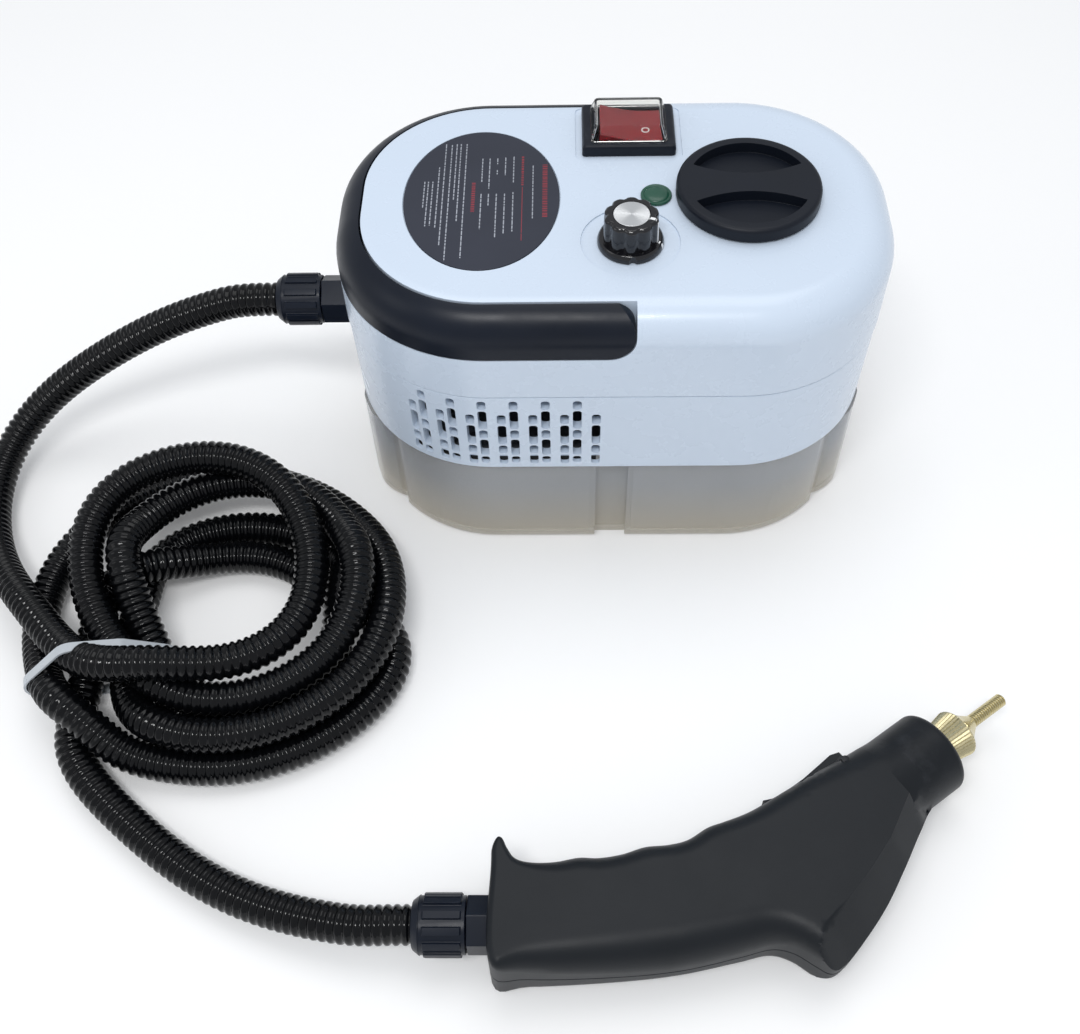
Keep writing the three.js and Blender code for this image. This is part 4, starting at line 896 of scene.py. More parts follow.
def build_handle():
    bar = stack("bail_handle", [(case_outline(0), SEAM_TOP + 2 * MM)] + rolled_levels(14))
    combine(bar, [handle_slab("slab", HANDLE_RADIUS)], "INTERSECT")
    combine(bar, [core(HANDLE_WIDTH)])
    pins = [rod("pin", (PIVOT_X, side * (HALF_Y - HANDLE_WIDTH - 2 * MM), PIVOT_Z),
                (PIVOT_X, side * (HALF_Y - 2.5 * MM), PIVOT_Z), 2.7 * MM) for side in (-1, 1)]
    combine(bar, pins)
    tidy(bar, 0.005 * MM)
    soften(bar, 1.3 * MM, 4, 34)
    return place(bar, "handle_body", HANDLE_BLACK, ("carry_handle",))


# ---------- tank ----------
TANK_LOW, TANK_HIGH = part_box("tank")
TANK_INSET = 3.3 * MM
TANK_WALL = 2.4 * MM
TANK_BROAD_X = 88 * MM
TANK_END_Y = 42 * MM
TANK_END_CORNER = 20 * MM
GROOVE_HALF = 6.5 * MM
GROOVE_DEPTH = 3.5 * MM
ABOVE_LIP = LIP + 9 * MM


def tank_levels(outline_at, inset, low, high, foot):
    """Levels of the tank: rounded foot, then straight walls."""
    turns = quarter(5) if foot else [(1, 0)]
    levels = [(outline_at(inset + foot * (1 - out)), low + foot * (1 - up)) for out, up in turns]
    return levels + [(outline_at(inset), high)]


def tank_block(name, inset, low, high, foot=0.0):
    """The tank's plan: broad middle, narrower ends, and a groove down the middle of front and back."""

    def ends_outline(shrink):
        return rounded_outline(TANK_HIGH.x - shrink, TANK_END_Y - shrink, TANK_END_CORNER - shrink)

    step_x = TANK_BROAD_X - inset
    broad = stack(name, tank_levels(lambda d: case_outline(TANK_INSET + d), inset, low, high, foot))
    combine(broad, [box("reach", (-step_x, -HALF_Y, low - MM), (step_x, HALF_Y, high + MM))], "INTERSECT")
    ends = stack("ends", tank_levels(ends_outline, inset, low, high, foot))
    combine(broad, [ends], "UNION")
    half = GROOVE_HALF + inset
    bottom, past = HALF_Y - TANK_INSET - GROOVE_DEPTH - inset, HALF_Y + MM
    grooves = [box("groove", (-half, near, low - MM), (half, far, high + MM))
               for near, far in ((-past, -bottom), (bottom, past))]
    return combine(broad, grooves)


def build_tank():
    shoulder = LIP - 1.4 * MM
    outside = tank_block("water_tank", 0, TANK_LOW.z, shoulder, 3 * MM)
    combine(outside, [prism("fit", case_outline(0.4 * MM), -MM, LIP)], "INTERSECT")
    rim = tank_block("rim", 0, shoulder - MM, TANK_HIGH.z)
    combine(rim, [prism("within", case_outline(TANK_INSET), -MM, ABOVE_LIP)], "INTERSECT")
    combine(outside, [rim], "UNION")
    inside = tank_block("inside", TANK_WALL, TANK_WALL, TANK_HIGH.z + MM, 2 * MM)
    combine(inside, [prism("shrink", case_outline(TANK_INSET + TANK_WALL), 0, ABOVE_LIP)], "INTERSECT")
    combine(outside, [inside])
    tidy(outside, 0.01 * MM)
    soften(outside, 0.6 * MM, 2, 30)
    return place(outside, "base", TANK, ("tank",))


# ---------- filler cap ----------
HOLLOW_SPREAD = math.radians(27)
BAR_HALF = 5.2 * MM


def finger_hollow(side, rim, low, high):
    """Room for a finger beside the cap's grip bar: the rim's arc and a bowed straight side."""
    spread = HOLLOW_SPREAD
    steps = 28
    points = []
    for step in range(steps + 1):
        angle = spread + (math.pi - 2 * spread) * step / steps
        points.append((rim * math.cos(angle), rim * math.sin(angle)))
    end_x, end_y = rim * math.cos(spread), rim * math.sin(spread)
    for step in range(1, 20):
        part = step / 20
        bow = 1 - (2 * part - 1) ** 2
        points.append((-end_x + 2 * end_x * part, end_y - (end_y - BAR_HALF) * bow))
    outline = [(CAP.x + side * x, CAP.y + side * y) for x, y in points]
    return prism("hollow", outline, low, high)


def build_cap():
    low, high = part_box("filler_cap")
    radius = (high.x - low.x) / 2
    top = high.z
    under = top - 5.8 * MM
    plug, groove = 15.2 * MM, 13.4 * MM
    groove_z = DECK - 8 * MM
    profile = [(0, under), (10.4 * MM, under), (10.4 * MM, low.z), (plug, low.z), (plug, groove_z - 1.6 * MM),
               (groove, groove_z - 1.6 * MM), (groove, groove_z + 1.6 * MM), (plug, groove_z + 1.6 * MM),
               (plug, under), (radius - 0.4 * MM, under), (radius, under + 0.4 * MM),
               (radius, top - 1.8 * MM), (radius - 0.25 * MM, top - 0.9 * MM),
               (radius - 0.9 * MM, top - 0.3 * MM), (radius - 1.8 * MM, top), (0, top)]
    cap = turned("round_cap", profile, 128, CAP)
    hollows = [finger_hollow(side, radius - 4.4 * MM, under + 1.4 * MM, top + MM) for side in (1, -1)]
    combine(cap, hollows)
    tidy(cap, 0.005 * MM)
    soften(cap, 0.7 * MM, 3, 40)
    return place(cap, "cap_body", BLACK, ("filler_cap",))


# ---------- knob ----------
POINTER_ANGLE = math.radians(-20)


def knob_outline(radius, lobes=10, depth=0.9 * MM):
    points = []
    for step in range(lobes * 14):
        angle = 2 * math.pi * step / (lobes * 14)
        wave = 0.5 + 0.5 * math.cos(lobes * (angle - POINTER_ANGLE))
        reach = radius - depth * (1 - wave) ** 2
        points.append((KNOB.x + reach * math.cos(angle), KNOB.y + reach * math.sin(angle)))
    return points


def build_knob():
    low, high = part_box("knob")
    bottom, top = low.z, high.z
    skirt_radius = (high.x - low.x) / 2
    body_radius = 10.1 * MM
    collar = bottom + 2.8 * MM
    skirt = turned("skirt", [(0, bottom), (skirt_radius, bottom), (skirt_radius, bottom + 1.2 * MM),
                             (skirt_radius - 0.5 * MM, collar - 0.4 * MM), (skirt_radius - 1 * MM, collar),
                             (0, collar)], 96, KNOB)
    body = stack("control_knob", [(knob_outline(body_radius + 0.2 * MM), collar - 1 * MM),
                                  (knob_outline(body_radius), top - 1.4 * MM),
                                  (knob_outline(body_radius - 0.25 * MM), top - 0.7 * MM),
                                  (knob_outline(body_radius - 0.9 * MM), top - 0.15 * MM),
                                  (knob_outline(body_radius - 1.4 * MM), top)])
    combine(body, [skirt], "UNION")
    insert_low, insert_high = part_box("knob_insert")
    insert_radius = (insert_high.x - insert_low.x) / 2
    dimple_at = (KNOB.x + 0.5 * MM, KNOB.y - skirt_radius - 0.6 * MM)
    combine(body, [
        drum("pocket", insert_radius + 0.3 * MM, 64, KNOB, top - MM, top + MM),
        drum("bore", 3.3 * MM, 32, KNOB, bottom - MM, bottom + 9.5 * MM),
        drum("dimple", 1.5 * MM, 24, dimple_at, bottom - MM, collar + MM),
    ])
    tidy(body, 0.004 * MM)
    soften(body, 0.18 * MM, 2, 40)
    place(body, "knob_body", KNOB_BLACK, ("knob",))
    disc = turned("knob_disc", [(0, insert_low.z), (insert_radius, insert_low.z),
                                (insert_radius, insert_high.z - 0.12 * MM),
                                (insert_radius - 0.12 * MM, insert_high.z), (0, insert_high.z)], 96, KNOB)
    shade(disc, 30)
    place(disc, "knob_body", SPUN, ("knob_insert",))
    build_pointer(body_radius, insert_radius, skirt_radius, bottom, collar, top)


def build_pointer(body_radius, insert_radius, skirt_radius, bottom, collar, top):
    """White line that runs over the knob's top ring, down its side and out across the skirt."""
    half, lift, deep = 0.6 * MM, 0.07 * MM, 0.5 * MM
    runs = [
        [(insert_radius + 0.5 * MM, top + lift), (body_radius - 1.2 * MM, top + lift)],
        [(body_radius - 0.9 * MM, top - 0.15 * MM + lift), (body_radius + lift, top - 1.4 * MM),
         (body_radius + 0.2 * MM + lift, collar + 0.2 * MM)],
        [(body_radius + 0.6 * MM, collar + lift), (skirt_radius - 1 * MM, collar + lift)],
        [(skirt_radius - 0.5 * MM + lift, collar - 0.5 * MM), (skirt_radius + lift, bottom + 1.2 * MM),
         (skirt_radius + lift, bottom + 0.4 * MM)],
    ]
    parts = []
    for run in runs:
        ring = run + [(radius - deep, z - deep) for radius, z in reversed(run)]
        sides = [[(radius, side, z) for radius, z in ring] for side in (-half, half)]
        parts.append(tidy(loft("mark", sides)))
    pointer = merged("pointer_line", parts)
    pointer.data.transform(Matrix.Translation((KNOB.x, KNOB.y, 0)) @ Matrix.Rotation(POINTER_ANGLE, 4, "Z"))
    shade(pointer, 30)
    place(pointer, "knob_body", PAINT_WHITE)


# ---------- lamp, switch ----------
def build_lamp():
    low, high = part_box("indicator_lens")
    radius = (high.x - low.x) / 2
    rim = DECK + 0.3 * MM
    profile = [(0, low.z), (4.8 * MM, low.z), (4.8 * MM, rim), (radius, rim), (radius, rim + 0.55 * MM),
               (radius - 0.25 * MM, rim + 0.85 * MM), (radius - 0.9 * MM, rim + 0.9 * MM),
               (radius - 1.2 * MM, rim + 0.7 * MM)]
    dome, dome_low = radius - 1.25 * MM, rim + 0.7 * MM
    rise = 0.7 * (high.z - rim - 0.7 * MM)
    profile += [(dome * across, dome_low + rise * up) for up, across in quarter(12, 1)]
    lens = turned("lamp_lens", profile, 64, LAMP)
    shade(lens, 40)
    place(lens, "base", GREEN, ("indicator_lens",))


def switch_outline(half_x, half_y, radius):
    return rounded_outline(half_x, half_y, radius, 6, SWITCH)


def build_switch_frame():
    low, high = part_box("switch_frame")
    half = (high - low) / 2
    levels = [
        (switch_outline(half.x, half.y, 1.2 * MM), DECK - 0.2 * MM),
        (switch_outline(half.x, half.y, 1.2 * MM), high.z - 1.6 * MM),
        (switch_outline(half.x - 0.5 * MM, half.y - 0.5 * MM, 1.2 * MM), high.z - 0.4 * MM),
        (switch_outline(half.x - 1.1 * MM, half.y - 1.1 * MM, 1 * MM), high.z),
    ]
    plate = stack("power_switch_frame", levels)
    combine(plate, [prism("collar", switch_outline(15 * MM, 11 * MM, 0.8 * MM), low.z, DECK + MM)], "UNION")
    combine(plate, [prism("opening", switch_outline(13.7 * MM, 9.7 * MM, 0.5 * MM), low.z - MM, high.z + MM)])
    tidy(plate, 0.004 * MM)
    soften(plate, 0.25 * MM, 2, 30)
    place(plate, "base", BLACK, ("switch_frame",))


def build_rocker():
    tilt = math.radians(7)
    pivot = Vector((SWITCH.x, SWITCH.y, DECK - 3 * MM))
    half = 9.2 * MM
    reach, steps = 12.3, 12
    outline = [(-8, -2), (8, -2), (reach, 5), (reach, 8.5)]
    for step in range(1, steps):
        part = step / steps
        outline.append((reach - 2 * reach * step / steps, 7 + 1.5 * abs(1 - 2 * part) ** 1.7))
    outline += [(-reach, 8.5), (-reach, 5)]
    rings = [[(x, side, z) for x, z in millimetres(outline)] for side in (half, -half)]
    rocker = tidy(loft("power_rocker", rings))
    soften(rocker, 0.5 * MM, 3, 40)
    rocker.modifiers.clear()
    upright = Matrix.Translation(pivot) @ Matrix.Rotation(tilt, 4, "Y")
    rocker.data.transform(upright)
    shade(rocker, 35)
    place(rocker, "rocker_body", RED, ("switch_rocker",))
    section = millimetres([(1.15, -0.4), (1.6, -0.4), (1.6, 0.06), (1.15, 0.06), (1.15, -0.4)])
    ring = turned("off_ring", section, 40)
    rest = Matrix.Translation((5.7 * MM, -2.9 * MM, 7.47 * MM)) @ Matrix.Rotation(-0.12, 4, "Y")
    ring.data.transform(upright @ rest)
    shade(ring, 35)
    place(ring, "rocker_body", PAINT_WHITE)


# Levels of the soft cover in millimetres: half sizes, corner radius and height above the frame.
COVER = ((14.9, 11.4, 1.4, 0.3), (14.7, 11.2, 1.4, 1.0), (13.2, 9.0, 1.3, 5.8), (12.8, 8.6, 1.3, 6.2))


def cover_levels(wall):
    """The cover's outside, or its hollow where it has a wall."""
    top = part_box("switch_frame")[1].z
    levels = []
    for half_x, half_y, radius, height in millimetres(COVER):
        outline = switch_outline(half_x - wall, half_y - wall, radius - wall / 2)
        levels.append((outline, top + height - (wall if levels else 0)))
    if wall:
        levels[0] = (levels[0][0], top - MM)
    return levels


def build_switch_cover():
    cover = stack("clear_cover", cover_levels(0))
    combine(cover, [stack("hollow", cover_levels(0.8 * MM))])
    tidy(cover, 0.004 * MM)
    soften(cover, 0.3 * MM, 3, 20)
    place(cover, "base", CLEAR, ("switch_cover",))


# ---------- label ----------
# Rows of plain bars: place across the label, then the start at the back and the end at the front, all from
# the label's centre.
PALE_ROWS = (
    (-22, 9.6, -5.2), (-20.6, 9.6, -15.7), (-18.9, 9.6, -15.3), (-16.8, 18, -16.6), (-14.8, 32, -26),
    (-12.5, 31.5, -34.5), (-10.6, 32, -0.9), (-9, 32, -13), (-6.7, 32, -33), (-0.2, 23, 9.2),
    (-0.2, 2.2, -17.5), (2.6, 23, 5.2), (2.6, 2.2, -4.4), (5.6, 23, 19.6), (5.6, 16, 13.5), (5.6, 2.2, -22),
    (8.7, 23.5, 13), (8.7, 2.2, -20), (11.9, 24, 8.7), (11.9, 3, -19), (19.4, 18.5, -12.2),
)
# The same for the red ones, with the bar's width and its greatest length.
RED_ROWS = (
    (-3.2, 8.7, -7.9, 1.4, 0.8), (15.4, 24, 6.5, 0.9, 1.2), (15.4, 6, -24, 0.3, 30),
    (24, 19, -11.4, 1.9, 0.9),
)


def build_label():
    low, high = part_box("label_disc")
    half = (high - low) / 2
    edge = oval(half.x, half.y, 120, LABEL)
    face = oval(half.x - 0.1 * MM, half.y - 0.1 * MM, 120, LABEL)
    label = stack("oval_label", [(edge, low.z), (edge, high.z - 0.08 * MM), (face, high.z)])
    shade(label, 30)
    place(label, "base", SLATE, ("label_disc",))
    top = high.z
    random.seed(7)
    pale, red = [], []

    def dashes(store, x, start, end, width, longest):
        """A run of plain bars in place of a printed line, from the back towards the front."""
        y = start
        while y > end:
            length = random.uniform(0.35, 1) * longest
            low_y = max(end, y - length)
            corners = [(x - width / 2, low_y, top - 0.05 * MM), (x + width / 2, y, top + 0.03 * MM)]
            store.append(box("bar", *corners))
            y = low_y - 0.45 * MM

    for x, start, end in PALE_ROWS:
        dashes(pale, LABEL.x + x * MM, LABEL.y + start * MM, LABEL.y + end * MM, 0.42 * MM, 2.6 * MM)
    for x, start, end, width, longest in RED_ROWS:
        dashes(red, LABEL.x + x * MM, LABEL.y + start * MM, LABEL.y + end * MM, width * MM, longest * MM)
    for name, store, material in (("label_rows", pale, PRINT_PALE), ("label_headings", red, PRINT_RED)):
        printed = merged(name, store)
        shade(printed, 30)
        place(printed, "base", material)


# ---------- steam gun ----------
GUN_Z = middle("barrel_collar").z
GUN_HALF = 16 * MM
BARREL_ANGLE = math.radians(35.7)
BARREL_END = Vector((117.5, -171.5, 0)) * MM
AXIS = Vector((math.cos(BARREL_ANGLE), math.sin(BARREL_ANGLE), 0))
COLLAR = 18 * MM

# Plan of the gun in millimetres, anticlockwise from the grip's foot: x, y and the rounded edge's radius.
GUN_PLAN = (
    (-45, -252.8, 3), (-32, -255.3, 9), (-3.5, -254.6, 12), (19, -252.4, 13), (39, -248, 12),
    (50, -245.3, 11), (57.5, -246.6, 9), (64, -250.6, 8), (69, -253.3, 5), (73.5, -251.3, 2),
    (80.5, -244, 1), (90.5, -231.5, 1), (99, -217.5, 1), (105.5, -206, 1), (112.5, -195, 1),
    (119.5, -189.5, 3), (126.7, -184.3, 15.4), (131, -170, 15.4), (108.3, -158.7, 15.4),
    (97, -166.8, 15), (84.5, -175.8, 12), (67, -187, 8), (50, -197.4, 8), (43, -201.3, 7),
    (36, -204, 7), (30, -206.2, 7), (23, -210.6, 7), (16, -212.4, 7), (8, -213.2, 7), (0, -215.8, 7),
    (-8, -217.1, 7), (-15, -217, 7), (-23, -218.8, 6), (-31, -219.6, 4), (-36.5, -218.6, 2.6),
    (-39.5, -215, 2), (-41.3, -211.6, 1.5), (-43.2, -211.4, 1.5), (-44.8, -215, 2), (-45, -221, 2.5),
)
# Crease between the flat side and the slope along the gun's back, from the horn forwards, in millimetres.
CREASE = (
    (63, -246.5), (68.1, -240.1), (75.7, -232.4), (84.3, -222.3), (92.3, -211.7), (101.1, -195.5),
    (111, -176.5),
)
FACET_SLOPE = 1.24
PANEL_END = 27 * MM
SHOULDER = 12.4 * MM
LEDGE_INNER = -1 * MM
LEDGE_OUTER = -13 * MM
EDGE_BLEND = 1.5 * MM
THINNEST = 0.7 * MM
BARREL_RADIUS = 15.8 * MM
BARREL_STEPS = 18


def closed_curve(points, per_gap):
    """Smooth closed line through points with any number of values each."""
    table = np.array(points, float)
    count = len(table)
    made = []
    for index in range(count):
        p0, p1, p2, p3 = (table[(index + k) % count] for k in (-1, 0, 1, 2))
        for step in range(per_gap):
            t = step / per_gap
            made.append(0.5 * (2 * p1 + (p2 - p0) * t + (2 * p0 - 5 * p1 + 4 * p2 - p3) * t ** 2
                               + (3 * p1 - p0 - 3 * p2 + p3) * t ** 3))
    return np.array(made)


def nearest_on(points, starts, ends):
    """Distance from each point to each straight piece of a line, and the vectors away from them."""
    along = ends - starts
    gap = points[:, None, :] - starts[None, :, :]
    part = np.clip((gap * along).sum(axis=2) / (along ** 2).sum(axis=1), 0, 1)
    away = gap - part[:, :, None] * along
    return np.linalg.norm(away, axis=2), away


def depth_in(points, outline):
    """Distance from each point to a closed outline."""
    return nearest_on(points, outline, np.roll(outline, -1, axis=0))[0].min(axis=1)


def barrel_place(points):
    """Distance past the barrel's end and to the finger side, for points in plan."""
    gap = points - np.array(BARREL_END.to_2d())
    forward = gap @ np.array((AXIS.x, AXIS.y))
    sideways = gap @ np.array((-AXIS.y, AXIS.x))
    return forward, sideways


def gun_heights(points, outline, edges):
    """Height of the housing's skin above the gun's middle plane, for points in plan."""
    distance, _ = nearest_on(points, outline, np.roll(outline, -1, axis=0))
    depth = distance.min(axis=1)
    weight = np.exp(-(distance - depth[:, None]) / EDGE_BLEND)
    width = (weight * edges).sum(axis=1) / weight.sum(axis=1)
    inner = np.clip(1 - depth / width, 0, 1)
    rounded = GUN_HALF - width * (1 - np.sqrt(1 - inner ** 2))
    crease = np.array(CREASE) * MM
    reach, away = nearest_on(points, crease[:-1], crease[1:])
    rows = np.arange(len(points))
    best = reach.argmin(axis=1)
    heading = (crease[1:] - crease[:-1])[best]
    side = heading[:, 1] * away[rows, best, 0] - heading[:, 0] * away[rows, best, 1]
    outside = np.where(side > 0, reach[rows, best], 0)
    body = np.minimum(rounded, GUN_HALF - FACET_SLOPE * outside)
    forward, sideways = barrel_place(points)
    past = forward > -PANEL_END
    round_part = np.sqrt(np.clip(BARREL_RADIUS ** 2 - sideways ** 2, 0, None))
    lowered = np.where(sideways < LEDGE_INNER, np.minimum(body, SHOULDER), body)
    blend = np.clip((forward + PANEL_END) / (PANEL_END - COLLAR), 0, 1)
    blend = blend * blend * (3 - 2 * blend)
    body = np.where(past, np.maximum(lowered + blend * (round_part - lowered), round_part), body)
    return np.clip(body, THINNEST, None)


def clipped(outline, limit):
    """The part of a closed outline behind a line across the barrel."""
    forward, _ = barrel_place(outline)
    made = []
    for index in range(len(outline)):
        after = (index + 1) % len(outline)
        if forward[index] <= limit:
            made.append(outline[index])
        if (forward[index] - limit) * (forward[after] - limit) < 0:
            part = (limit - forward[index]) / (forward[after] - forward[index])
            made.append(outline[index] + part * (outline[after] - outline[index]))
            if forward[after] > limit:
                steps = range(3 - BARREL_STEPS, BARREL_STEPS - 2)
                across = [BARREL_RADIUS * math.sin(math.pi / 2 * step / BARREL_STEPS) for step in steps]
                made += [np.array(on_axis(limit, sideways).to_2d()) for sideways in across]
    return np.array(made)


def rim_normals(outline):
    inward = np.roll(outline, -1, axis=0) - np.roll(outline, 1, axis=0)
    inward = np.stack([-inward[:, 1], inward[:, 0]], axis=1)
    return inward / np.linalg.norm(inward, axis=1)[:, None]


def skin_points(outline, edges):
    """Plan points that carry the rounded edges, the barrel's round and the slope."""
    inward = rim_normals(outline)
    clear, least = 0.93, 0.12 * MM
    made = []
    for _, flat in quarter(10, 1):
        amount = edges * (1 - flat)
        ring = outline + inward * amount[:, None]
        made += list(ring[(depth_in(ring, outline) > clear * amount) & (amount > least)])
    stations = (-PANEL_END + 0.12 * MM, -25 * MM, -23 * MM, -21 * MM, -19.5 * MM)
    for forward in stations:
        for step in range(1 - BARREL_STEPS, BARREL_STEPS):
            sideways = BARREL_RADIUS * math.sin(math.pi / 2 * step / BARREL_STEPS)
            made.append(np.array(on_axis(forward, sideways).to_2d()))
    slope_x, slope_y, spacing = (60, 118), (-252, -185), 2.5
    for x in np.arange(*slope_x, spacing):
        made += [np.array((x, y)) * MM for y in np.arange(*slope_y, spacing)]
    return np.array(made)


def gun_triangles(full, edges):
    """Points and triangles of the housing in plan, with the crease and the ledge as edges."""
    rim = clipped(full, -COLLAR - 0.02 * MM)
    loose = skin_points(full, edges)
    loose = loose[depth_in(loose, rim) > 0.1 * MM]
    crease = [Vector(point) * MM for point in CREASE[1:-1]]
    ledge = [on_axis(-PANEL_END + shift, out).to_2d()
             for shift in (-0.05 * MM, 0.05 * MM) for out in (LEDGE_OUTER, LEDGE_INNER)]
    count, first = len(rim), len(rim) + len(loose)
    links = [(k, (k + 1) % count) for k in range(count)]
    links += [(first + k, first + k + 1) for k in range(len(crease) - 1)]
    links += [(first + len(crease) + k, first + len(crease) + k + 1) for k in (0, 2)]
    flat = [Vector(point) for point in rim] + [Vector(point) for point in loose] + crease + ledge
    scale = 1 / MM
    found, _, faces, _, _, _ = delaunay_2d_cdt([point * scale for point in flat], links, [], 1, 0.01)
    return np.array([tuple(v) for v in found]) * MM, faces


def rim_loop(faces):
    """The points round the edge of a triangulated plan, in order."""
    uses = dict.fromkeys(pair for face in faces for pair in zip(face, face[1:] + face[:1]))
    after = dict(pair for pair in uses if (pair[1], pair[0]) not in uses)
    loop = [next(iter(after))]
    while after[loop[-1]] != loop[0]:
        loop.append(after[loop[-1]])
    return loop


def gun_half(name, side):
    """Half of the gun's housing, above or below its middle plane, with a groove along the seam."""
    groove, groove_edge, groove_floor = 0.22, 0.45 * MM, 0.15 * MM
    plan = closed_curve(GUN_PLAN, 6)
    full = plan[:, :2] * MM
    edges = np.minimum(plan[:, 2] * MM, GUN_HALF - 0.5 * MM)
    spots, faces = gun_triangles(full, edges)
    heights = gun_heights(spots, full, edges)
    loop = rim_loop(faces)
    edge = spots[loop]
    base = edge + rim_normals(edge) * groove * MM
    total, around = len(spots), len(loop)
    vertices = [(x, y, GUN_Z + side * h) for (x, y), h in zip(spots, heights)]
    vertices += [(x, y, GUN_Z + side * groove_edge) for x, y in edge]
    vertices += [(x, y, GUN_Z + side * groove_floor) for x, y in base]
    skin = [tuple(face) for face in faces]
    walls = [tuple(total + around + k for k in reversed(range(around)))]
    for here in range(around):
        there = (here + 1) % around
        walls.append((loop[there], loop[here], total + here, total + there))
        walls.append((total + there, total + here, total + around + here, total + around + there))
    obj = mesh_object(name, vertices, skin + walls)
    return tidy(obj, 0.004 * MM, loose=True)


def on_axis(forward, out=0.0, up=0.0):
    """A point given by its distance past the barrel's end, its distance to the finger side and its height."""
    sideways = Vector((-AXIS.y, AXIS.x, 0))
    return BARREL_END + AXIS * forward + sideways * out + Vector((0, 0, GUN_Z + up))


def axis_matrix():
    sideways = Vector((-AXIS.y, AXIS.x, 0))
    turn = Matrix((sideways, Vector((0, 0, 1)), AXIS)).transposed().to_4x4()
    return Matrix.Translation(on_axis(0)) @ turn


def build_gun_shells():
    halves = (("gun_housing_top", 1, "gun_shell_left"), ("gun_housing_bottom", -1, "gun_shell_right"))
    slot_turn = Matrix.Rotation(math.radians(31.9), 4, "Z")
    slot_place = Matrix.Translation((50 * MM, -197.2 * MM, GUN_Z)) @ slot_turn
    for name, side, node in halves:
        half = gun_half(name, side)
        slot = box("slot", (1.4 * MM, -9.5 * MM, -7 * MM), (39.4 * MM, 20 * MM, 7 * MM))
        slot.data.transform(slot_place)
        gland = middle("gun_gland_body")
        inlet = rod("inlet", (-60 * MM, gland.y, gland.z), (-37 * MM, gland.y, gland.z), 6.6 * MM)
        cutters = [slot, inlet]
        if side < 0:
            for screw in ("gun_screw_1", "gun_screw_2"):
                spot = middle(screw)
                cutters.append(rod("screw_hole", (spot.x, spot.y, -MM), (spot.x, spot.y, 4 * MM), 2.9 * MM))
        combine(half, cutters)
        tidy(half, 0.01 * MM)
        shade(half, 34)
        place(half, "base", GUN_BLACK, (node,))


def build_collar():
    radius = BARREL_RADIUS
    profile = [(5.5 * MM, -COLLAR), (radius, -COLLAR), (radius, -3 * MM)]
    lip = 2.6 * MM
    profile += [(radius - lip * (1 - out), -lip * (1 - along)) for along, out in quarter(8, 1)]
    profile += millimetres([(11.4, 0), (11, -0.8), (8.2, -0.8), (7.8, -0.1), (5.5, -0.1)])
    profile.append((5.5 * MM, -COLLAR))
    collar = turned("barrel_front", profile, 96)
    collar.data.transform(axis_matrix())
    tidy(collar, 0.003 * MM)
    shade(collar, 34)
    place(collar, "base", GUN_BLACK, ("barrel_collar",))


# Levels of the nozzle's knurled nut in millimetres: radius, depth of the teeth, place along the barrel.
KNURL = (
    (6.9, 0.05, 1.2), (7.5, 0.25, 1.6), (8, 0.42, 4.5), (8.7, 0.42, 8.5), (9.25, 0.42, 11.3),
    (9.1, 0.1, 11.9), (8.6, 0, 12.3),
)


def knurled(radius, depth):
    teeth = 40
    points = []
    for step in range(teeth * 4):
        angle = 2 * math.pi * step / (teeth * 4)
        drop = depth * (0, 0.5, 1, 0.5)[step % 4]
        points.append(((radius - drop) * math.cos(angle), (radius - drop) * math.sin(angle)))
    return points


def build_nozzle():
    nut = stack("knurl", [(knurled(radius * MM, depth * MM), z * MM) for radius, depth, z in KNURL])
    profile = millimetres([(1.2, -12), (5, -12), (5, 1.4), (6.5, 1.4), (8.5, 11.9), (8.7, 12.3), (8.1, 12.8)])
    for step in range(1, 9):
        part = step / 8
        profile.append(((8.1 - 5.5 * part ** 0.75) * MM, (12.8 + 6.6 * part) * MM))
    z, tip, groove, thread = 19.6 * MM, 36 * MM, 2.1 * MM, 2.55 * MM
    while z < tip - 1.2 * MM:
        profile += [(groove, z), (groove, z + 0.3 * MM), (thread, z + 0.55 * MM), (thread, z + 0.75 * MM)]
        z += 1.0 * MM
    profile += [(groove, z), (2.0 * MM, tip - 0.2 * MM), (1.8 * MM, tip), (1.2 * MM, tip), profile[0]]
    core_piece = turned("core", profile, 64)
    bore = turned("bore", millimetres([(0, -20), (5.6, -20), (5.6, 11.5), (0, 11.5)]), 48)
    combine(nut, [bore])
    nozzle = merged("brass_nozzle", [nut, core_piece])
    nozzle.data.transform(axis_matrix())
    tidy(nozzle, 0.002 * MM)
    shade(nozzle, 28)
    place(nozzle, "nozzle_body", BRASS, ("nozzle",))


# ---------- carried-over nodes ----------
def dress(node, material, bevel):
    """Keeps a CAD node's shape, rounds its edges with modifiers and gives it a finished material."""
    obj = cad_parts[node]
    obj.data.materials.clear()
    obj.data.materials.append(material)
    obj.data.polygons.foreach_set("use_smooth", [True] * len(obj.data.polygons))
    weld = obj.modifiers.new("weld", "WELD")
    weld.merge_threshold = 0.005 * MM
    if bevel > 0:
        modifier = obj.modifiers.new("soften", "BEVEL")
        modifier.width = bevel
        modifier.segments = 2
        modifier.limit_method = "ANGLE"
        modifier.angle_limit = math.radians(32)
    weighted = obj.modifiers.new("weighted", "WEIGHTED_NORMAL")
    weighted.keep_sharp = True


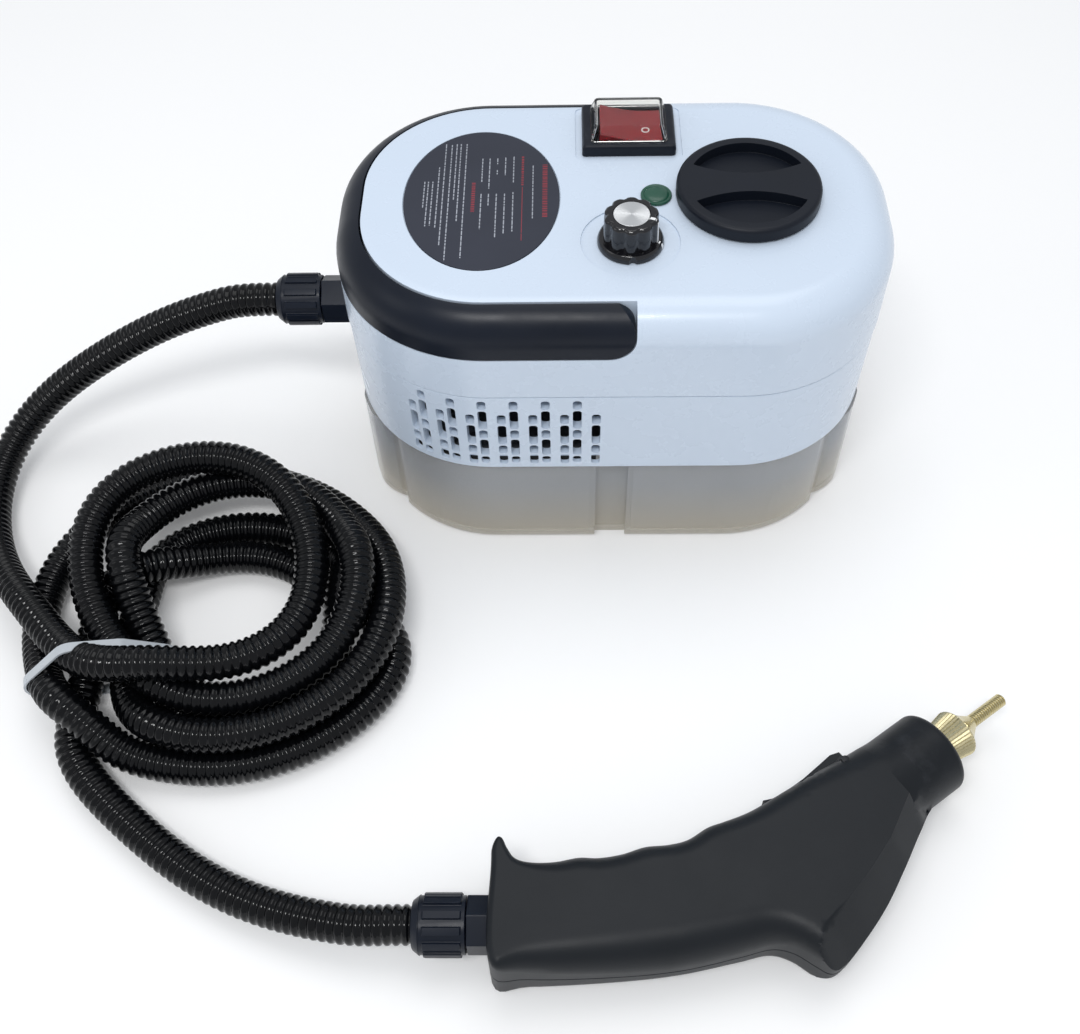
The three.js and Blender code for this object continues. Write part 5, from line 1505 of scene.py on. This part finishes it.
# Material, width of the rounded edges in millimetres, and the nodes that have them.
DRESSED = (
    (HANDLE_BLACK, 0.35, ("machine_gland_nut", "machine_gland_body", "gun_gland_nut", "gun_gland_body",
                          "mains_cord_gland")),
    (GUN_BLACK, 0.9, ("trigger",)),
    (STEEL, 0.15, ("case_screw_1", "case_screw_2", "case_screw_3", "case_screw_4", "gun_screw_1",
                   "gun_screw_2", "handle_pin_front", "handle_pin_back", "heating_element")),
    (STEEL_DARK, 0.1, ("trigger_pin", "trigger_spring")),
    (ALUMINIUM, 0.3, ("boiler", "potentiometer_shaft")),
    (BRASS, 0.1, ("steam_pipe",)),
    (BRASS, 0, ("steam_tube",)),
    (GREY, 0.3, ("filler_tube", "potentiometer_body", "indicator_body", "thermostat", "steam_switch")),
    (BLACK, 0.4, ("switch_body", "water_pump")),
    (COPPER, 0.5, ("pump_coil",)),
    (INNER_WHITE, 0.4, ("suction_filter", "thermal_fuse")),
    (TUBE_CLEAR, 0, ("suction_tube", "feed_tube")),
    (RUBBER, 0.15, ("tank_seal", "cap_seal", "nozzle_seal")),
    (BOARD, 0.15, ("control_board",)),
)


def dress_nodes():
    for material, bevel, nodes in DRESSED:
        for node in nodes:
            dress(node, material, bevel * MM)


# ---------- floor and light ----------
def build_stage():
    size = 6.0
    corners = [(-size, -size, 0), (size, -size, 0), (size, size, 0), (-size, size, 0)]
    floor = mesh_object("floor", corners, [(0, 1, 2, 3)])
    nodes = Nodes("floor_pale")
    tone = (0.9, 0.9, 0.9)
    nodes.preset(tone, Roughness=0.7, Emission_Color=(1, 1, 1, 1), Emission_Strength=0.1)
    nodes.drive("Base Color", nodes.mix(nodes.spread(nodes.noise(3, 2), 0, 1), tinted(tone, 0.99), tone))
    floor.data.materials.append(nodes.material)
    world = bpy.data.worlds.new("studio")
    world.use_nodes = True
    world.node_tree.nodes["Background"].inputs["Color"].default_value = (0.93, 0.96, 1.0, 1)
    world.node_tree.nodes["Background"].inputs["Strength"].default_value = 0.6
    scene.world = world
    lights = (
        ("key", (-0.15, -0.6, 1.15), (0.5, 0.15), 5.5),
        ("overhead", (0.05, 0.3, 1.3), (0.9, 0.7), 3.6),
        ("left", (-1.1, -0.3, 0.8), (0.5, 0.5), 0.8),
    )
    target = Vector((0, -0.05, 0.05))
    for name, position, (wide, tall), power in lights:
        data = bpy.data.lights.new(name, "AREA")
        data.shape = "RECTANGLE"
        data.size = wide
        data.size_y = tall
        data.energy = power
        light = bpy.data.objects.new(name, data)
        light.location = position
        light.rotation_mode = "QUATERNION"
        light.rotation_quaternion = (target - Vector(position)).to_track_quat("-Z", "Y")
        scene.collection.objects.link(light)
    scene.view_settings.view_transform = "Standard"
    scene.view_settings.look = "None"
    scene.view_settings.exposure = 0.0


for build in (build_upper_shell, build_lower_shell, build_handle, build_tank, build_cap, build_knob,
              build_lamp, build_switch_frame, build_rocker, build_switch_cover, build_label, build_gun_shells,
              build_collar, build_nozzle, dress_nodes, build_stage):
    build()

[tuple(p) for p in hose_centre]
